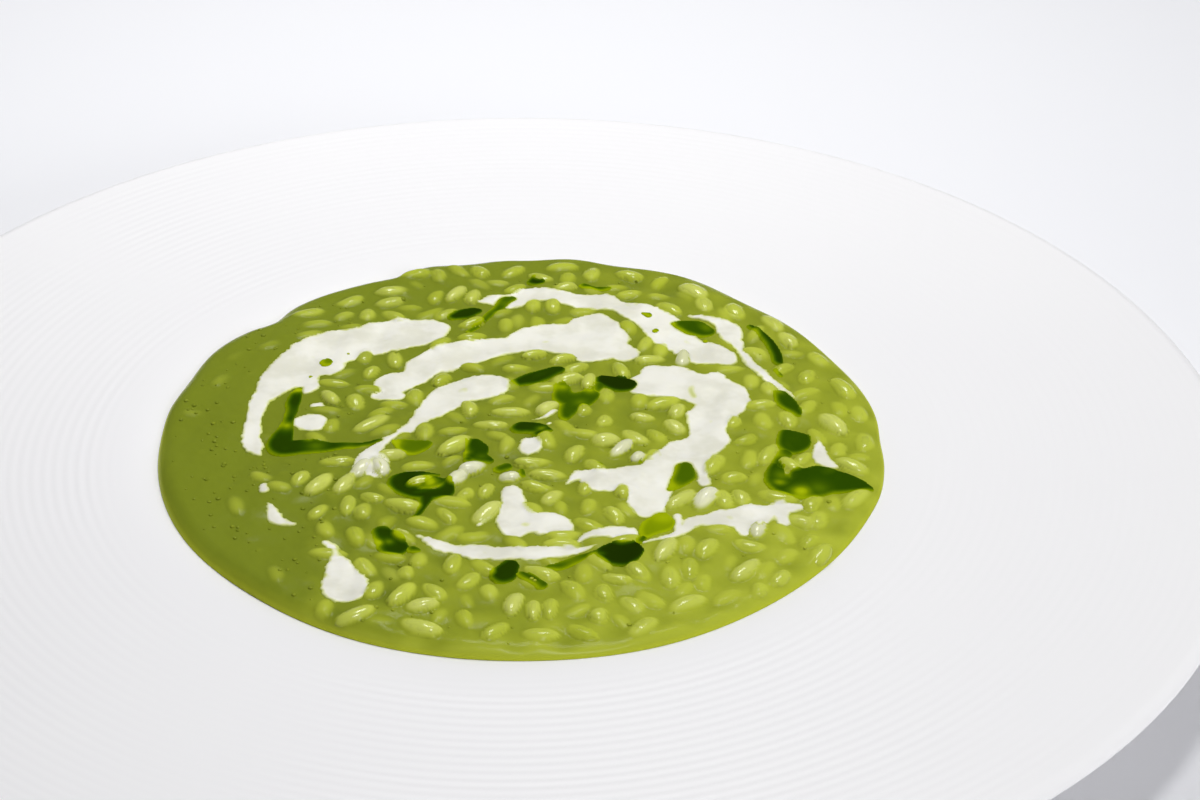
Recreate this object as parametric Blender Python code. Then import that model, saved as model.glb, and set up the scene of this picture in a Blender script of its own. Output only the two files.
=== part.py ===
"""Green risotto served level with the rim of a wide white plate.

A Blender script: one object for each piece of the dish, at its real size, +Z up, with
the origin under the middle of the plate's foot. Sizes below are in millimetres; meshes
are built in metres.

The plate is a turned profile. The risotto is one body: a pool of green sauce that fills
the well, with the rice grains that stand proud of it fused on. The cream and the herb
oil lie on the bare pool as thin slabs, each its own object, with a small gap below.
"""

import math
import random

import bmesh
import bpy
from mathutils import Matrix, Vector
from mathutils.bvhtree import BVHTree
from mathutils.geometry import delaunay_2d_cdt

MM = 0.001          # metres in a millimetre
GAP = 0.3           # clearance between neighbouring pieces
SEGMENTS = 60       # facets round the plate and the pool

# ---------------------------------------------------------------- plate, radius and height
PLATE_RADIUS = 150.0
RIM_TOP = 24.0
FOOT_INNER = 55.0
FOOT_OUTER = 59.0
FOOT_RECESS = 2.6   # how far the base stands clear of the table inside the foot ring
WELL_FLOOR = 7.4
PLATE_TOP = [       # upper surface from the middle of the well out to the rim's edge
    (0.0, WELL_FLOOR), (42.0, WELL_FLOOR), (53.0, 8.8), (60.0, 12.4), (65.0, 17.0), (69.0, 20.8),
    (72.0, 22.6), (75.0, 23.4), (79.0, 23.8), (86.0, RIM_TOP), (146.5, RIM_TOP + 0.1),
]
PLATE_EDGE = [(149.3, 23.4), (PLATE_RADIUS, 22.3), (149.4, 21.3)]
PLATE_UNDER = [     # under side from the rim's edge back in to the foot ring
    (146.0, 20.4), (94.0, 19.4), (81.0, 18.4), (73.5, 14.6), (66.0, 8.0), (61.0, 3.4), (FOOT_OUTER, 0.0),
    (FOOT_INNER, 0.0), (FOOT_INNER - 1.6, FOOT_RECESS), (0.0, FOOT_RECESS),
]

# ---------------------------------------------------------------- pool of risotto
POOL_RADIUS = 75.0
POOL_SHIFT = (1.7, 0.9)     # the pool spreads a little further to the right and the far side
POOL_LOBES = [              # direction in degrees, swell in mm, half width in degrees
    (0, -0.6, 5), (25, -0.7, 9), (62, 2.5, 9), (80, 2.6, 7), (91, 1.2, 5), (104, 1.4, 4.5), (110, -0.8, 4),
    (135, -1.9, 4), (149, 1.3, 8), (167, 0.5, 6), (220, -0.4, 20), (290, 1.0, 16), (345, 0.4, 6),
]
POOL_LEVEL = 25.0           # height of the sauce just inside its rounded edge
POOL_CROWN = 1.0            # further rise to the middle
EDGE_WIDTH = 5.5            # how far in from the outline the surface curves over
EDGE_THICKNESS = 0.5        # blunt edge left at the outline
EDGE_ROUNDNESS = 0.65       # 0.5 is a quarter of an ellipse, and 1 a parabola
SWELLS = [                  # slow unevenness: wave length, direction in degrees, phase, height
    (47.0, 20, 0.4, 0.22), (31.0, 75, 1.9, 0.20), (23.0, 130, 3.1, 0.17), (17.0, 165, 5.0, 0.12),
]
POOL_RINGS = [0.2, 0.38, 0.54, 0.68, 0.8, 0.88, 0.94, 0.975]    # of the way out, before the edge
BOTTOM_RADII = [75.0, 72.0, 69.0, 65.0, 60.0, 53.0, 42.0]       # follow the well's own corners

# ---------------------------------------------------------------- grains of rice
GRAIN_COUNT = 165
GRAIN_LENGTH = (8.0, 0.7)   # mean and spread
GRAIN_WIDTH = 3.3
GRAIN_PROUD = (0.9, 1.6)    # how far a grain's top stands above the sauce
GRAIN_TILT = 0.16           # steepest lie, in radians
GRAIN_SIDES = 5
GRAIN_SPACING = 6.4         # least distance between middles
GRAIN_EDGE = 6.4            # middles stay this far in from the pool's outline
GRAIN_SEED = 11

# ---------------------------------------------------------------- cream: strokes of (x, y, half width)
CREAM_EDGE = 0.35           # slab thickness at its outline
CREAM_THICKNESS = 1.1       # and where it is wide
CREAM = {
    "cream_left_arc": [
        [(-52.2, -4.4, 0.8), (-53.7, -0.8, 2.3), (-54.1, 5, 2.1), (-53.9, 10, 1.95), (-53.2, 15, 2.5),
         (-51.2, 20, 3.4), (-48.6, 25.4, 5.0), (-45.4, 30, 6.0), (-41.4, 34.8, 7.1), (-37, 38.6, 7.0),
         (-31.8, 41, 5.4), (-26, 42.8, 7.2), (-21, 43.6, 6.6), (-18.4, 44, 5.0)],
        [(-29.2, 37.4, 3.6)],
        [(-46, 27, 5.0), (-43.4, 22, 2.7), (-43.6, 18.7, 1.5)],
        [(-43, 29.8, 5.0), (-39.6, 29.6, 3.9)],
    ],
    "cream_middle_arc": [
        [(-25.6, 22.4, 4.3), (-21.6, 24.8, 3.6), (-17.8, 29.6, 4.9), (-13, 32.6, 5.0), (-7, 34.9, 5.0),
         (-2, 36.2, 4.0), (1, 37, 3.8), (4.2, 39.4, 5.4), (8, 40.4, 6.6), (12, 40, 7.4), (17, 40.2, 8.0)],
        [(-28.6, 18.2, 2.0), (-25.2, 17.8, 2.6)],
        [(17.6, 45.4, 6.0)],
        [(17.4, 34.6, 5.4)],
        [(18, 41, 6.0), (21.6, 40.4, 4.2)],
        [(20, 38, 5.0), (23.8, 34.2, 3.7)],
    ],
    "cream_inner_tail": [
        [(-4.8, 20, 4.6), (-9, 19.5, 5.1), (-13, 17, 4.6), (-16, 12.4, 3.9), (-18.6, 8.4, 2.6),
         (-21.2, 4.6, 1.5), (-24.2, 0.9, 1.2), (-27, -2.2, 1.3), (-29.6, -6.4, 2.4), (-30.2, -9.2, 3.0),
         (-28.6, -11.8, 2.9)],
        [(-27.6, -8, 2.4)],
    ],
    "cream_top_arc": [
        [(-8.4, 56.4, 0.6), (-4.6, 57, 1.8), (0, 56.7, 3.3), (4, 58.9, 3.7), (9, 59, 2.8), (13, 57.4, 3.0),
         (17, 56.2, 3.5), (20, 55.9, 3.5), (23.3, 54.4, 2.9), (26.5, 52.2, 3.6), (29.5, 49.5, 4.3),
         (32.5, 45.6, 4.7), (34.6, 40.6, 4.8), (37.4, 36.8, 4.4), (40.8, 33.4, 5.0), (43.4, 32.4, 4.6),
         (45.2, 31, 3.2)],
    ],
    "cream_right_strand": [
        [(38.9, 48.6, 0.6), (42.4, 47.8, 1.1), (45.8, 46.2, 2.0), (47.3, 43.2, 2.9), (47.7, 39.6, 2.5),
         (48.6, 36.2, 1.5), (49.8, 33, 1.0), (50.8, 29.8, 1.3), (52.6, 26.2, 1.5), (54.6, 22, 1.4),
         (56.5, 19, 1.2), (58.4, 16, 0.8), (59.8, 13.6, 0.4)],
    ],
    "cream_big_right": [
        [(29.2, 20.4, 5.4), (33, 21.4, 6.6), (38, 19.6, 6.0), (42.4, 17.2, 6.6), (44.2, 13, 5.6),
         (41.4, 8, 5.2), (40.4, 2.8, 4.2), (40.2, -1.6, 4.8), (36, -5.8, 5.2), (32.4, -10, 4.8),
         (29, -15, 5.0), (27, -20, 5.2), (26.6, -25.4, 4.2)],
        [(30.6, 24.6, 3.9)],
        [(42.4, 21.6, 3.6)],
        [(47.4, 13.2, 3.0)],
        [(26, -15.6, 4.4), (21, -16.4, 4.2), (17.4, -16.8, 4.4)],
        [(16, -14.8, 2.8), (13.4, -14.6, 1.8), (11.6, -15.8, 1.1), (10.6, -17.4, 0.6)],
        [(38, -8, 3.4), (38, -12.4, 1.6), (38.5, -17.4, 1.6)],
    ],
    "cream_spiky": [
        [(25.4, -39.1, 0.5), (29.5, -37.4, 0.8), (32.6, -35.4, 1.4), (36, -31.6, 2.0), (39.6, -30.4, 2.8),
         (43, -30.2, 3.2), (46.6, -29.3, 4.2), (50.2, -28.2, 2.6), (54, -26.8, 2.2), (57.4, -26.2, 1.0)],
        [(32.4, -28.8, 0.8), (32.4, -32, 1.1), (32.6, -35, 1.4)],
        [(45.2, -32, 2.6), (45.4, -34.8, 1.4)],
        [(48.6, -31, 2.2), (48.6, -33.2, 1.3)],
        [(53.2, -28.6, 2.2), (53.6, -31.2, 1.6)],
        [(53.4, -25.6, 1.8), (52.4, -24.8, 1.0)],
    ],
    "cream_boot": [
        [(-0.4, -20.2, 2.6), (-0.2, -24.6, 2.8), (0.4, -30.6, 4.4), (0.2, -33.4, 3.4)],
        [(0.4, -30.8, 4.4), (4, -31.9, 3.7), (8.2, -32.6, 3.8)],
    ],
    "cream_bottom_arc": [
        [(-19.4, -35.3, 0.6), (-17.4, -37, 1.3), (-14.6, -38.9, 1.8), (-12, -39.6, 1.5), (-9.4, -40.7, 2.4),
         (-6.4, -41.5, 2.6), (-3, -41.8, 2.4), (0, -41.6, 2.2), (5, -41.7, 2.2), (8.4, -41.3, 2.1),
         (10.8, -41, 1.6), (13.2, -40.7, 0.9), (16, -39.7, 0.4)],
    ],
    "cream_comma": [
        [(12.4, -38.2, 0.7), (15.2, -36.4, 1.6), (18.2, -35.6, 2.0), (21, -35.2, 2.2), (23, -35.5, 2.0)],
    ],
    "cream_oval": [[(-42.9, 6.3, 3.3), (-41.6, 6.3, 3.4)]],
    "cream_spot": [[(3.4, -2.6, 2.5), (3.5, -4.9, 2.7)]],
    "cream_teardrop": [
        [(-37.4, -37.2, 0.6), (-35.6, -39.6, 1.5), (-34.6, -42.6, 1.7), (-33.6, -47.4, 3.6),
         (-32.7, -51.8, 4.8), (-33, -52.6, 4.6)],
    ],
    "cream_left_fleck": [[(-49.1, -23.6, 0.5), (-48, -27.2, 1.5), (-46.6, -29, 1.6), (-43.9, -30, 0.7)]],
    "cream_right_fleck": [
        [(62.9, -1.2, 0.4), (63, -4.6, 1.2), (63, -8.6, 2.1), (64, -10.6, 1.9), (65.4, -11.6, 1.0)],
    ],
}

# ---------------------------------------------------------------- herb oil: strokes of (x, y, half width)
OIL_EDGE = 0.35
OIL_THICKNESS = 0.9
OIL = {
    "oil_left_hook": [
        [(-45.2, 20.4, 0.9), (-46, 16, 1.7), (-46.4, 11, 1.5), (-46.9, 7, 1.3), (-47.4, 3.4, 2.0),
         (-48.2, -0.6, 2.9), (-47.6, -2.6, 3.1), (-44, -2.6, 3.0), (-40.5, -2.8, 2.3), (-36.5, -2.6, 1.5),
         (-32.5, -2.2, 1.2), (-29.5, -1.5, 0.9), (-27.4, -0.9, 0.6)],
    ],
    "oil_left_drop": [[(-24.4, -1.6, 0.9), (-21.6, -2.8, 2.6), (-19.4, -2.8, 2.2), (-17.4, -2.0, 0.8)]],
    "oil_ring": [
        [(-15.4, -13.4, 0.6), (-19.4, -12.9, 1.3), (-22.6, -14.4, 2.4), (-23.2, -17.2, 2.5),
         (-20.6, -20.2, 2.3), (-17.2, -21.4, 2.4), (-14.2, -20.2, 2.2), (-13.6, -17.2, 1.5),
         (-13.9, -15.4, 0.9)],
        [(-18, -16.6, 2.4), (-16, -16.2, 2.2)],
        [(-17.8, -22.4, 1.9), (-18.2, -25.4, 1.1), (-19.3, -28.4, 0.8), (-20, -29.6, 0.6)],
    ],
    "oil_middle_left": [
        [(-8.2, -2.6, 2.0), (-7.6, -4.6, 2.6), (-7.8, -7, 2.6), (-5.4, -8.8, 1.4)],
        [(-9.6, -8.6, 1.0)],
    ],
    "oil_lower_left": [[(-26.2, -34.6, 2.2), (-24.6, -37.4, 3.2), (-23.8, -39.2, 3.1)]],
    "oil_bottom": [[(-1.0, -45.6, 1.9), (-2.2, -48.2, 2.7), (-2.8, -49.2, 2.4)]],
    "oil_bottom_dark": [
        [(18.4, -43, 3.0), (20.6, -42.8, 4.1), (22.2, -42, 3.2)],
        [(23.2, -40.2, 1.6)],
    ],
    "oil_bottom_bright": [
        [(29.2, -29.4, 1.9), (28.8, -32, 3.2), (27, -34, 2.6), (25.8, -36.4, 1.4)],
        [(26.2, -32.4, 1.2)],
    ],
    "oil_middle": [
        [(0.6, 2.6, 1.5), (2.4, 3.6, 2.4), (4.6, 3, 2.4), (6.6, 1.6, 1.3), (7.6, 1, 0.7)],
        [(5, 0.6, 1.4)],
    ],
    "oil_upper_streak": [[(1, 21, 1.5), (3, 22, 2.0), (5.6, 23.4, 2.2), (8.2, 25.2, 1.9), (9.9, 26, 1.4)]],
    "oil_middle_pool": [
        [(10.4, 19.4, 1.9), (10.6, 15.6, 2.6), (13, 14, 3.2), (15.6, 15.6, 2.6), (16.6, 18, 1.6)],
        [(12, 12, 2.4), (11.2, 9, 2.0), (10.6, 6.8, 1.4)],
    ],
    "oil_upper_dark": [[(19.4, 21.8, 2.2), (22, 21.1, 3.1), (23.8, 20.6, 2.6)]],
    "oil_top_oval": [[(-12.9, 49.5, 1.5), (-10.6, 51, 2.4), (-8.4, 52.1, 1.9)]],
    "oil_top_streak": [
        [(-9.6, 42.6, 0.7), (-8.2, 44.6, 0.8), (-5.6, 49.2, 1.0), (-3.2, 53.6, 1.3), (-1.6, 56.6, 1.6),
         (-0.2, 57.6, 1.3)],
    ],
    "oil_far_drop": [[(5.3, 65.8, 2.3), (5.2, 67.2, 1.6)]],
    "oil_right_pool": [[(35.4, 45.6, 0.9), (37.4, 44.9, 2.2), (40, 43.8, 3.2), (41.6, 42.8, 2.7)]],
    "oil_right_curl": [
        [(52, 44.8, 1.0), (53.4, 42.4, 1.0), (54.8, 39.2, 1.2), (56.2, 35.8, 1.5), (56.8, 32.6, 1.5),
         (56.8, 30.2, 1.4)],
    ],
    "oil_right_slant": [[(56.4, 15.8, 1.7), (57.4, 12.6, 2.3), (58.8, 9.6, 1.7), (59.4, 7.6, 1.0)]],
    "oil_right_drop": [
        [(56.8, 0.8, 2.0), (57.8, -1.8, 3.7), (57.4, -3.4, 3.4)],
        [(59.4, -0.6, 2.2)],
    ],
    "oil_leaf": [
        [(54.4, -9.6, 1.2), (53.2, -13.4, 2.0), (53.4, -17.6, 2.9), (56.2, -20.4, 3.5), (59.8, -19.8, 3.9),
         (62.5, -17.2, 5.0), (66, -17.8, 3.9), (69.2, -19, 2.4), (71.6, -19.9, 1.2)],
        [(58.6, -16.6, 3.6), (57.4, -21, 3.0)],
    ],
    "oil_right_tear": [[(34.6, -12.2, 2.0), (34.6, -14.8, 2.5), (33.2, -17.4, 1.9), (31.6, -19.4, 0.9)]],
}
TOPPING_SPACE = 0.75        # left between cream and oil
OUTLINE_STEP = 0.8          # grid that a topping's outline is traced on
OUTLINE_TOLERANCE = 0.25    # how far a traced outline is simplified
INNER_SPACING = 4.6         # grid of vertices inside a wide topping


# ================================================================ materials and scene helpers
def make_material(name, colour, roughness):
    """An opaque, non-metallic material with its colour as linear RGB."""
    material = bpy.data.materials.new(name)
    material.use_nodes = True
    shader = material.node_tree.nodes["Principled BSDF"]
    shader.inputs["Base Color"].default_value = (*colour, 1.0)
    shader.inputs["Roughness"].default_value = roughness
    shader.inputs["Metallic"].default_value = 0.0
    material.diffuse_color = (*colour, 1.0)
    return material


def add_object(name, verts, faces, material):
    """An object from vertices in millimetres, smooth but for its sharp edges."""
    mesh = bpy.data.meshes.new(name)
    mesh.from_pydata([Vector(v) * MM for v in verts], [], faces)
    mesh.materials.append(material)
    shade(mesh)
    obj = bpy.data.objects.new(name, mesh)
    bpy.context.scene.collection.objects.link(obj)
    return obj


def shade(mesh):
    mesh.shade_smooth()
    mesh.set_sharp_from_angle(angle=math.radians(40))


# ================================================================ shapes that follow a rule
def interpolate(stations, at):
    """Value at a place along a list of (place, value) corners."""
    for (x0, y0), (x1, y1) in zip(stations, stations[1:]):
        if at <= x1:
            return y0 + (y1 - y0) * (at - x0) / (x1 - x0)
    return stations[-1][1]


def plate_height(radius):
    return interpolate(PLATE_TOP, radius)


def pool_outline(angle):
    """Radius of the pool's edge in one direction, in radians."""
    radius = POOL_RADIUS + POOL_SHIFT[0] * math.cos(angle) + POOL_SHIFT[1] * math.sin(angle)
    for degrees, swell, width in POOL_LOBES:
        away = (math.degrees(angle) - degrees + 180.0) % 360.0 - 180.0
        radius += swell * math.exp(-(away / width) ** 2)
    return radius


def pool_height(x, y):
    """Height of the bare sauce above the table."""
    radius = math.hypot(x, y)
    outline = pool_outline(math.atan2(y, x))
    edge_base = plate_height(outline) + GAP + EDGE_THICKNESS
    level = POOL_LEVEL + POOL_CROWN * (1.0 - (radius / outline) ** 2)
    for length, degrees, phase, height in SWELLS:
        direction = math.radians(degrees)
        along = x * math.cos(direction) + y * math.sin(direction)
        level += height * math.sin(2.0 * math.pi * along / length + phase)
    outward = min(max((radius - outline + EDGE_WIDTH) / EDGE_WIDTH, 0.0), 1.0)
    return edge_base + (level - edge_base) * (1.0 - outward ** 2) ** EDGE_ROUNDNESS


def smooth_stroke(points, steps=4):
    """A stroke's points joined by a Catmull-Rom curve."""
    if len(points) < 3:
        return [Vector(p) for p in points]
    p = [Vector(q) for q in points]
    p = [2 * p[0] - p[1]] + p + [2 * p[-1] - p[-2]]
    curve = []
    for a, b, c, d in zip(p, p[1:], p[2:], p[3:]):
        for step in range(steps):
            t = step / steps
            curve.append(0.5 * (2 * b + (c - a) * t + (2 * a - 5 * b + 4 * c - d) * t ** 2
                                + (3 * b - a - 3 * c + d) * t ** 3))
    return curve + [p[-2]]


def depth_inside(x, y, curves):
    """Distance in from the edge of a topping's strokes; negative outside them."""
    best = -1000.0
    for curve in curves:
        for a, b in zip(curve, curve[1:]):
            along_x, along_y = b.x - a.x, b.y - a.y
            length = along_x ** 2 + along_y ** 2 + 1e-9
            t = min(max(((x - a.x) * along_x + (y - a.y) * along_y) / length, 0.0), 1.0)
            away = math.hypot(x - a.x - t * along_x, y - a.y - t * along_y)
            best = max(best, a.z + t * (b.z - a.z) - away)
    return best


# ================================================================ plate
def make_plate(material):
    """The turned plate, closed on the axis at both ends of its profile."""
    profile = PLATE_TOP + PLATE_EDGE + PLATE_UNDER
    ring_stations = [s for s in profile if s[0] > 0]
    verts = [(0.0, 0.0, profile[0][1])]
    for radius, height in ring_stations:
        for k in range(SEGMENTS):
            angle = 2.0 * math.pi * k / SEGMENTS
            verts.append((radius * math.cos(angle), radius * math.sin(angle), height))
    verts.append((0.0, 0.0, profile[-1][1]))
    return add_object("plate", verts, lathe_faces(len(ring_stations)), material)


def lathe_faces(rings):
    """Faces of rings of SEGMENTS vertices between a first and a last vertex on the axis."""
    last = rings * SEGMENTS + 1
    faces = []
    for k in range(SEGMENTS):
        after = (k + 1) % SEGMENTS
        faces.append((0, 1 + k, 1 + after))
        for ring in range(rings - 1):
            inner = 1 + ring * SEGMENTS
            outer = inner + SEGMENTS
            faces.append((inner + k, outer + k, outer + after, inner + after))
        faces.append((last, last - SEGMENTS + after, last - SEGMENTS + k))
    return faces


# ================================================================ risotto
def make_pool(material):
    """The bare pool: its domed top, its rounded edge and a bottom that follows the well."""
    verts = [(0.0, 0.0, pool_height(0.0, 0.0))]
    for fraction in POOL_RINGS + [1.0]:
        for k in range(SEGMENTS):
            angle = 2.0 * math.pi * k / SEGMENTS
            radius = fraction * pool_outline(angle)
            x, y = radius * math.cos(angle), radius * math.sin(angle)
            verts.append((x, y, pool_height(x, y)))
    outline_ring = len(verts) - SEGMENTS
    for k in range(SEGMENTS):
        x, y, z = verts[outline_ring + k]
        verts.append((x, y, z - EDGE_THICKNESS))
    for corner in BOTTOM_RADII:
        for k in range(SEGMENTS):
            angle = 2.0 * math.pi * k / SEGMENTS
            radius = min(corner, pool_outline(angle) - 1.0)
            under = plate_height(radius) + 1.5 * GAP
            verts.append((radius * math.cos(angle), radius * math.sin(angle), under))
    verts.append((0.0, 0.0, WELL_FLOOR + 1.5 * GAP))
    rings = len(POOL_RINGS) + 2 + len(BOTTOM_RADII)
    return add_object("risotto", verts, lathe_faces(rings), material)


def grain_room(x, y):
    """How full of grains the sauce is at a place: fewer at the far left and the left edge."""
    if math.hypot(x, y) > pool_outline(math.atan2(y, x)) - GRAIN_EDGE:
        return 0.0
    if x < -52.0:
        return 0.08
    return 0.45 if x < -38.0 else 1.0


def place_grains(toppings):
    """Seeded places for the grains, the longest first, clear of the toppings."""
    rng = random.Random(GRAIN_SEED)
    lengths = sorted((rng.gauss(*GRAIN_LENGTH) for _ in range(GRAIN_COUNT)), reverse=True)
    places = []
    for length in lengths:
        for _ in range(200):
            x = rng.uniform(-POOL_RADIUS, POOL_RADIUS)
            y = rng.uniform(-POOL_RADIUS, POOL_RADIUS)
            turn = rng.uniform(0.0, math.pi)
            if rng.random() > grain_room(x, y):
                continue
            if any(math.hypot(x - p[0], y - p[1]) < GRAIN_SPACING for p in places):
                continue
            reach = length / 2.0 - 1.0
            spots = [(x + s * reach * math.cos(turn), y + s * reach * math.sin(turn)) for s in (-1, 0, 1)]
            if any(depth_inside(*spot, toppings) > -(GRAIN_WIDTH / 2.0 + GAP) for spot in spots):
                continue
            proud, tilt = rng.uniform(*GRAIN_PROUD), rng.uniform(-GRAIN_TILT, GRAIN_TILT)
            places.append((x, y, turn, length, proud, tilt))
            break
    return places


def make_grain(place, collection):
    """One low grain, partly sunk in the sauce."""
    x, y, turn, length, proud, tilt = place
    bm = bmesh.new()
    bmesh.ops.create_uvsphere(bm, u_segments=GRAIN_SIDES, v_segments=4, radius=1.0)
    half = Vector((GRAIN_WIDTH / 2.0, GRAIN_WIDTH / 2.0, length / 2.0)) * MM
    lay_down = Matrix.Rotation(math.pi / 2.0 + tilt, 4, "Y")
    where = Matrix.Translation(Vector((x, y, pool_height(x, y) + proud - GRAIN_WIDTH / 2.0)) * MM)
    bm.transform(where @ Matrix.Rotation(turn, 4, "Z") @ lay_down @ Matrix.Diagonal((*half, 1.0)))
    mesh = bpy.data.meshes.new("grain")
    bm.to_mesh(mesh)
    bm.free()
    grain = bpy.data.objects.new("grain", mesh)
    collection.objects.link(grain)


def fuse_grains(pool, toppings):
    """Join the grains to the pool by one union, and keep the one body that it makes."""
    collection = bpy.data.collections.new("grains")
    bpy.context.scene.collection.children.link(collection)
    for place in place_grains(toppings):
        make_grain(place, collection)
    union = pool.modifiers.new("grains", "BOOLEAN")
    union.operation = "UNION"
    union.operand_type = "COLLECTION"
    union.collection = collection
    union.solver = "EXACT"
    fused = bpy.data.meshes.new_from_object(pool.evaluated_get(bpy.context.evaluated_depsgraph_get()))
    pool.modifiers.clear()
    for grain in list(collection.objects):
        bpy.data.objects.remove(grain)
    bpy.data.collections.remove(collection)
    keep_largest_body(fused)
    shade(fused)
    pool.data = fused


def keep_largest_body(mesh):
    """Drop loose scraps and fill sealed hollows by keeping only the largest shell."""
    bm = bmesh.new()
    bm.from_mesh(mesh)
    bmesh.ops.triangulate(bm, faces=bm.faces)
    bmesh.ops.dissolve_degenerate(bm, edges=bm.edges, dist=0.004 * MM)
    bmesh.ops.triangulate(bm, faces=bm.faces)
    unseen = set(bm.verts)
    shells = []
    while unseen:
        shell = set()
        front = [unseen.pop()]
        while front:
            vert = front.pop()
            shell.add(vert)
            near = [e.other_vert(vert) for e in vert.link_edges]
            front += [v for v in near if v in unseen]
            unseen.difference_update(near)
        shells.append(shell)
    shells.sort(key=len)
    for shell in shells[:-1]:
        bmesh.ops.delete(bm, geom=list(shell), context="VERTS")
    bm.to_mesh(mesh)
    bm.free()


# ================================================================ cream and oil
def trace_outline(curves, others):
    """The longest closed outline of the strokes, cut back from the other curves."""
    reach = OUTLINE_STEP + max(p.z for curve in curves for p in curve)
    left = min(p.x for curve in curves for p in curve) - reach
    low = min(p.y for curve in curves for p in curve) - reach
    columns = int((max(p.x for curve in curves for p in curve) + reach - left) / OUTLINE_STEP) + 2
    rows = int((max(p.y for curve in curves for p in curve) + reach - low) / OUTLINE_STEP) + 2

    def depth(i, j):
        x, y = left + i * OUTLINE_STEP, low + j * OUTLINE_STEP
        inside = depth_inside(x, y, curves)
        if others and inside > -OUTLINE_STEP:
            inside = min(inside, -depth_inside(x, y, others) - TOPPING_SPACE)
        return inside

    grid = [[depth(i, j) for j in range(rows)] for i in range(columns)]

    def crossing(a, b):
        t = grid[a[0]][a[1]] / (grid[a[0]][a[1]] - grid[b[0]][b[1]])
        across, up = a[0] + t * (b[0] - a[0]), a[1] + t * (b[1] - a[1])
        return (left + across * OUTLINE_STEP, low + up * OUTLINE_STEP)

    following = {}
    for i in range(columns - 1):
        for j in range(rows - 1):
            corners = [(i, j), (i + 1, j), (i + 1, j + 1), (i, j + 1)]
            full = [grid[a][b] > 0.0 for a, b in corners]
            starts = [k for k in range(4) if full[k] and not full[(k + 1) % 4]]
            for k in starts:
                other = (k + 1) % 4
                while not full[(other + 1) % 4]:
                    other = (other + 1) % 4
                enter = edge_key(corners[k], corners[(k + 1) % 4])
                leave = edge_key(corners[other], corners[(other + 1) % 4])
                following[leave] = enter
    loops = []
    while following:
        key, after = following.popitem()
        loop = [key]
        while after != loop[0]:
            loop.append(after)
            after = following.pop(after)
        loops.append([crossing(*k) for k in loop])
    return simplify(max(loops, key=len))


def edge_key(a, b):
    return (a, b) if a < b else (b, a)


def simplify(loop):
    """Drop the points of a closed loop that lie almost on the line of their neighbours."""
    far = max(range(len(loop)), key=lambda k: math.dist(loop[0], loop[k]))
    return simplify_run(loop[:far + 1])[:-1] + simplify_run(loop[far:] + loop[:1])[:-1]


def simplify_run(run):
    (x0, y0), (x1, y1) = run[0], run[-1]
    length = math.dist(run[0], run[-1])
    off = [abs((x - x0) * (y1 - y0) - (y - y0) * (x1 - x0)) / length for x, y in run]
    worst = max(range(len(run)), key=off.__getitem__)
    if off[worst] < OUTLINE_TOLERANCE:
        return [run[0], run[-1]]
    return simplify_run(run[:worst + 1])[:-1] + simplify_run(run[worst:])


def inner_points(curves, loop):
    """Vertices inside a topping: along its strokes, and on a grid where it is wide."""
    points = [(p.x, p.y) for curve in curves for p in curve[::3]]
    xs, ys = [p[0] for p in loop], [p[1] for p in loop]
    for i in range(int((max(xs) - min(xs)) / INNER_SPACING)):
        for j in range(int((max(ys) - min(ys)) / INNER_SPACING)):
            column, row = i + 0.5 + 0.5 * (j % 2), j + 0.5
            points.append((min(xs) + column * INNER_SPACING, min(ys) + row * INNER_SPACING))
    kept = []
    for x, y in points:
        if loop_distance(x, y, loop) < 0.9 or not in_loop(x, y, loop):
            continue
        if all(math.hypot(x - a, y - b) > 0.6 * INNER_SPACING for a, b in kept):
            kept.append((x, y))
    return kept


def loop_distance(x, y, loop):
    curve = [Vector((a, b, 0.0)) for a, b in loop + loop[:1]]
    return -depth_inside(x, y, [curve])


def in_loop(x, y, loop):
    inside = False
    for (x0, y0), (x1, y1) in zip(loop, loop[1:] + loop[:1]):
        if (y0 > y) != (y1 > y) and x < x0 + (x1 - x0) * (y - y0) / (y1 - y0):
            inside = not inside
    return inside


def make_topping(name, curves, others, edge, thickness, ground, material):
    """A thin slab with the strokes' outline, draped over the pool with a gap below."""
    loop = trace_outline(curves, others)
    points = loop + inner_points(curves, loop)
    border = [(k, (k + 1) % len(loop)) for k in range(len(loop))]
    flat_points = [Vector(p) for p in points]
    flat, _, triangles = delaunay_2d_cdt(flat_points, border, [list(range(len(loop)))], 1, 1e-5)[:3]
    low, high = [], []
    for number, point in enumerate(flat):
        x, y = point
        floor = ground_height(ground, x, y) + GAP + 0.1
        inward = 0.0 if number < len(loop) else loop_distance(x, y, loop)
        low.append((x, y, floor))
        high.append((x, y, floor + min(edge + 0.55 * inward, thickness)))
    count = len(flat)
    triangles = [face_up(t, flat) for t in triangles]
    faces = [(a + count, b + count, c + count) for a, b, c in triangles]
    faces += [(c, b, a) for a, b, c in triangles]
    for a, b in boundary_edges(triangles):
        faces += [(a, b, b + count), (a, b + count, a + count)]
    return add_object(name, low + high, faces, material)


def face_up(triangle, points):
    a, b, c = triangle
    turn = (points[b] - points[a]).cross(points[c] - points[a])
    return (a, b, c) if turn > 0 else (a, c, b)


def boundary_edges(triangles):
    """The directed edges that only one triangle uses."""
    directed = {(t[k], t[(k + 1) % 3]) for t in triangles for k in range(3)}
    return [(a, b) for a, b in directed if (b, a) not in directed]


def ground_height(ground, x, y):
    """Height of the bare pool's faceted surface, straight up from a place."""
    hit = ground.ray_cast(Vector((x, y, 60.0)) * MM, Vector((0.0, 0.0, -1.0)))[0]
    return hit.z / MM


# ================================================================ the dish
def clear_scene():
    for obj in list(bpy.data.objects):
        bpy.data.objects.remove(obj)


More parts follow.
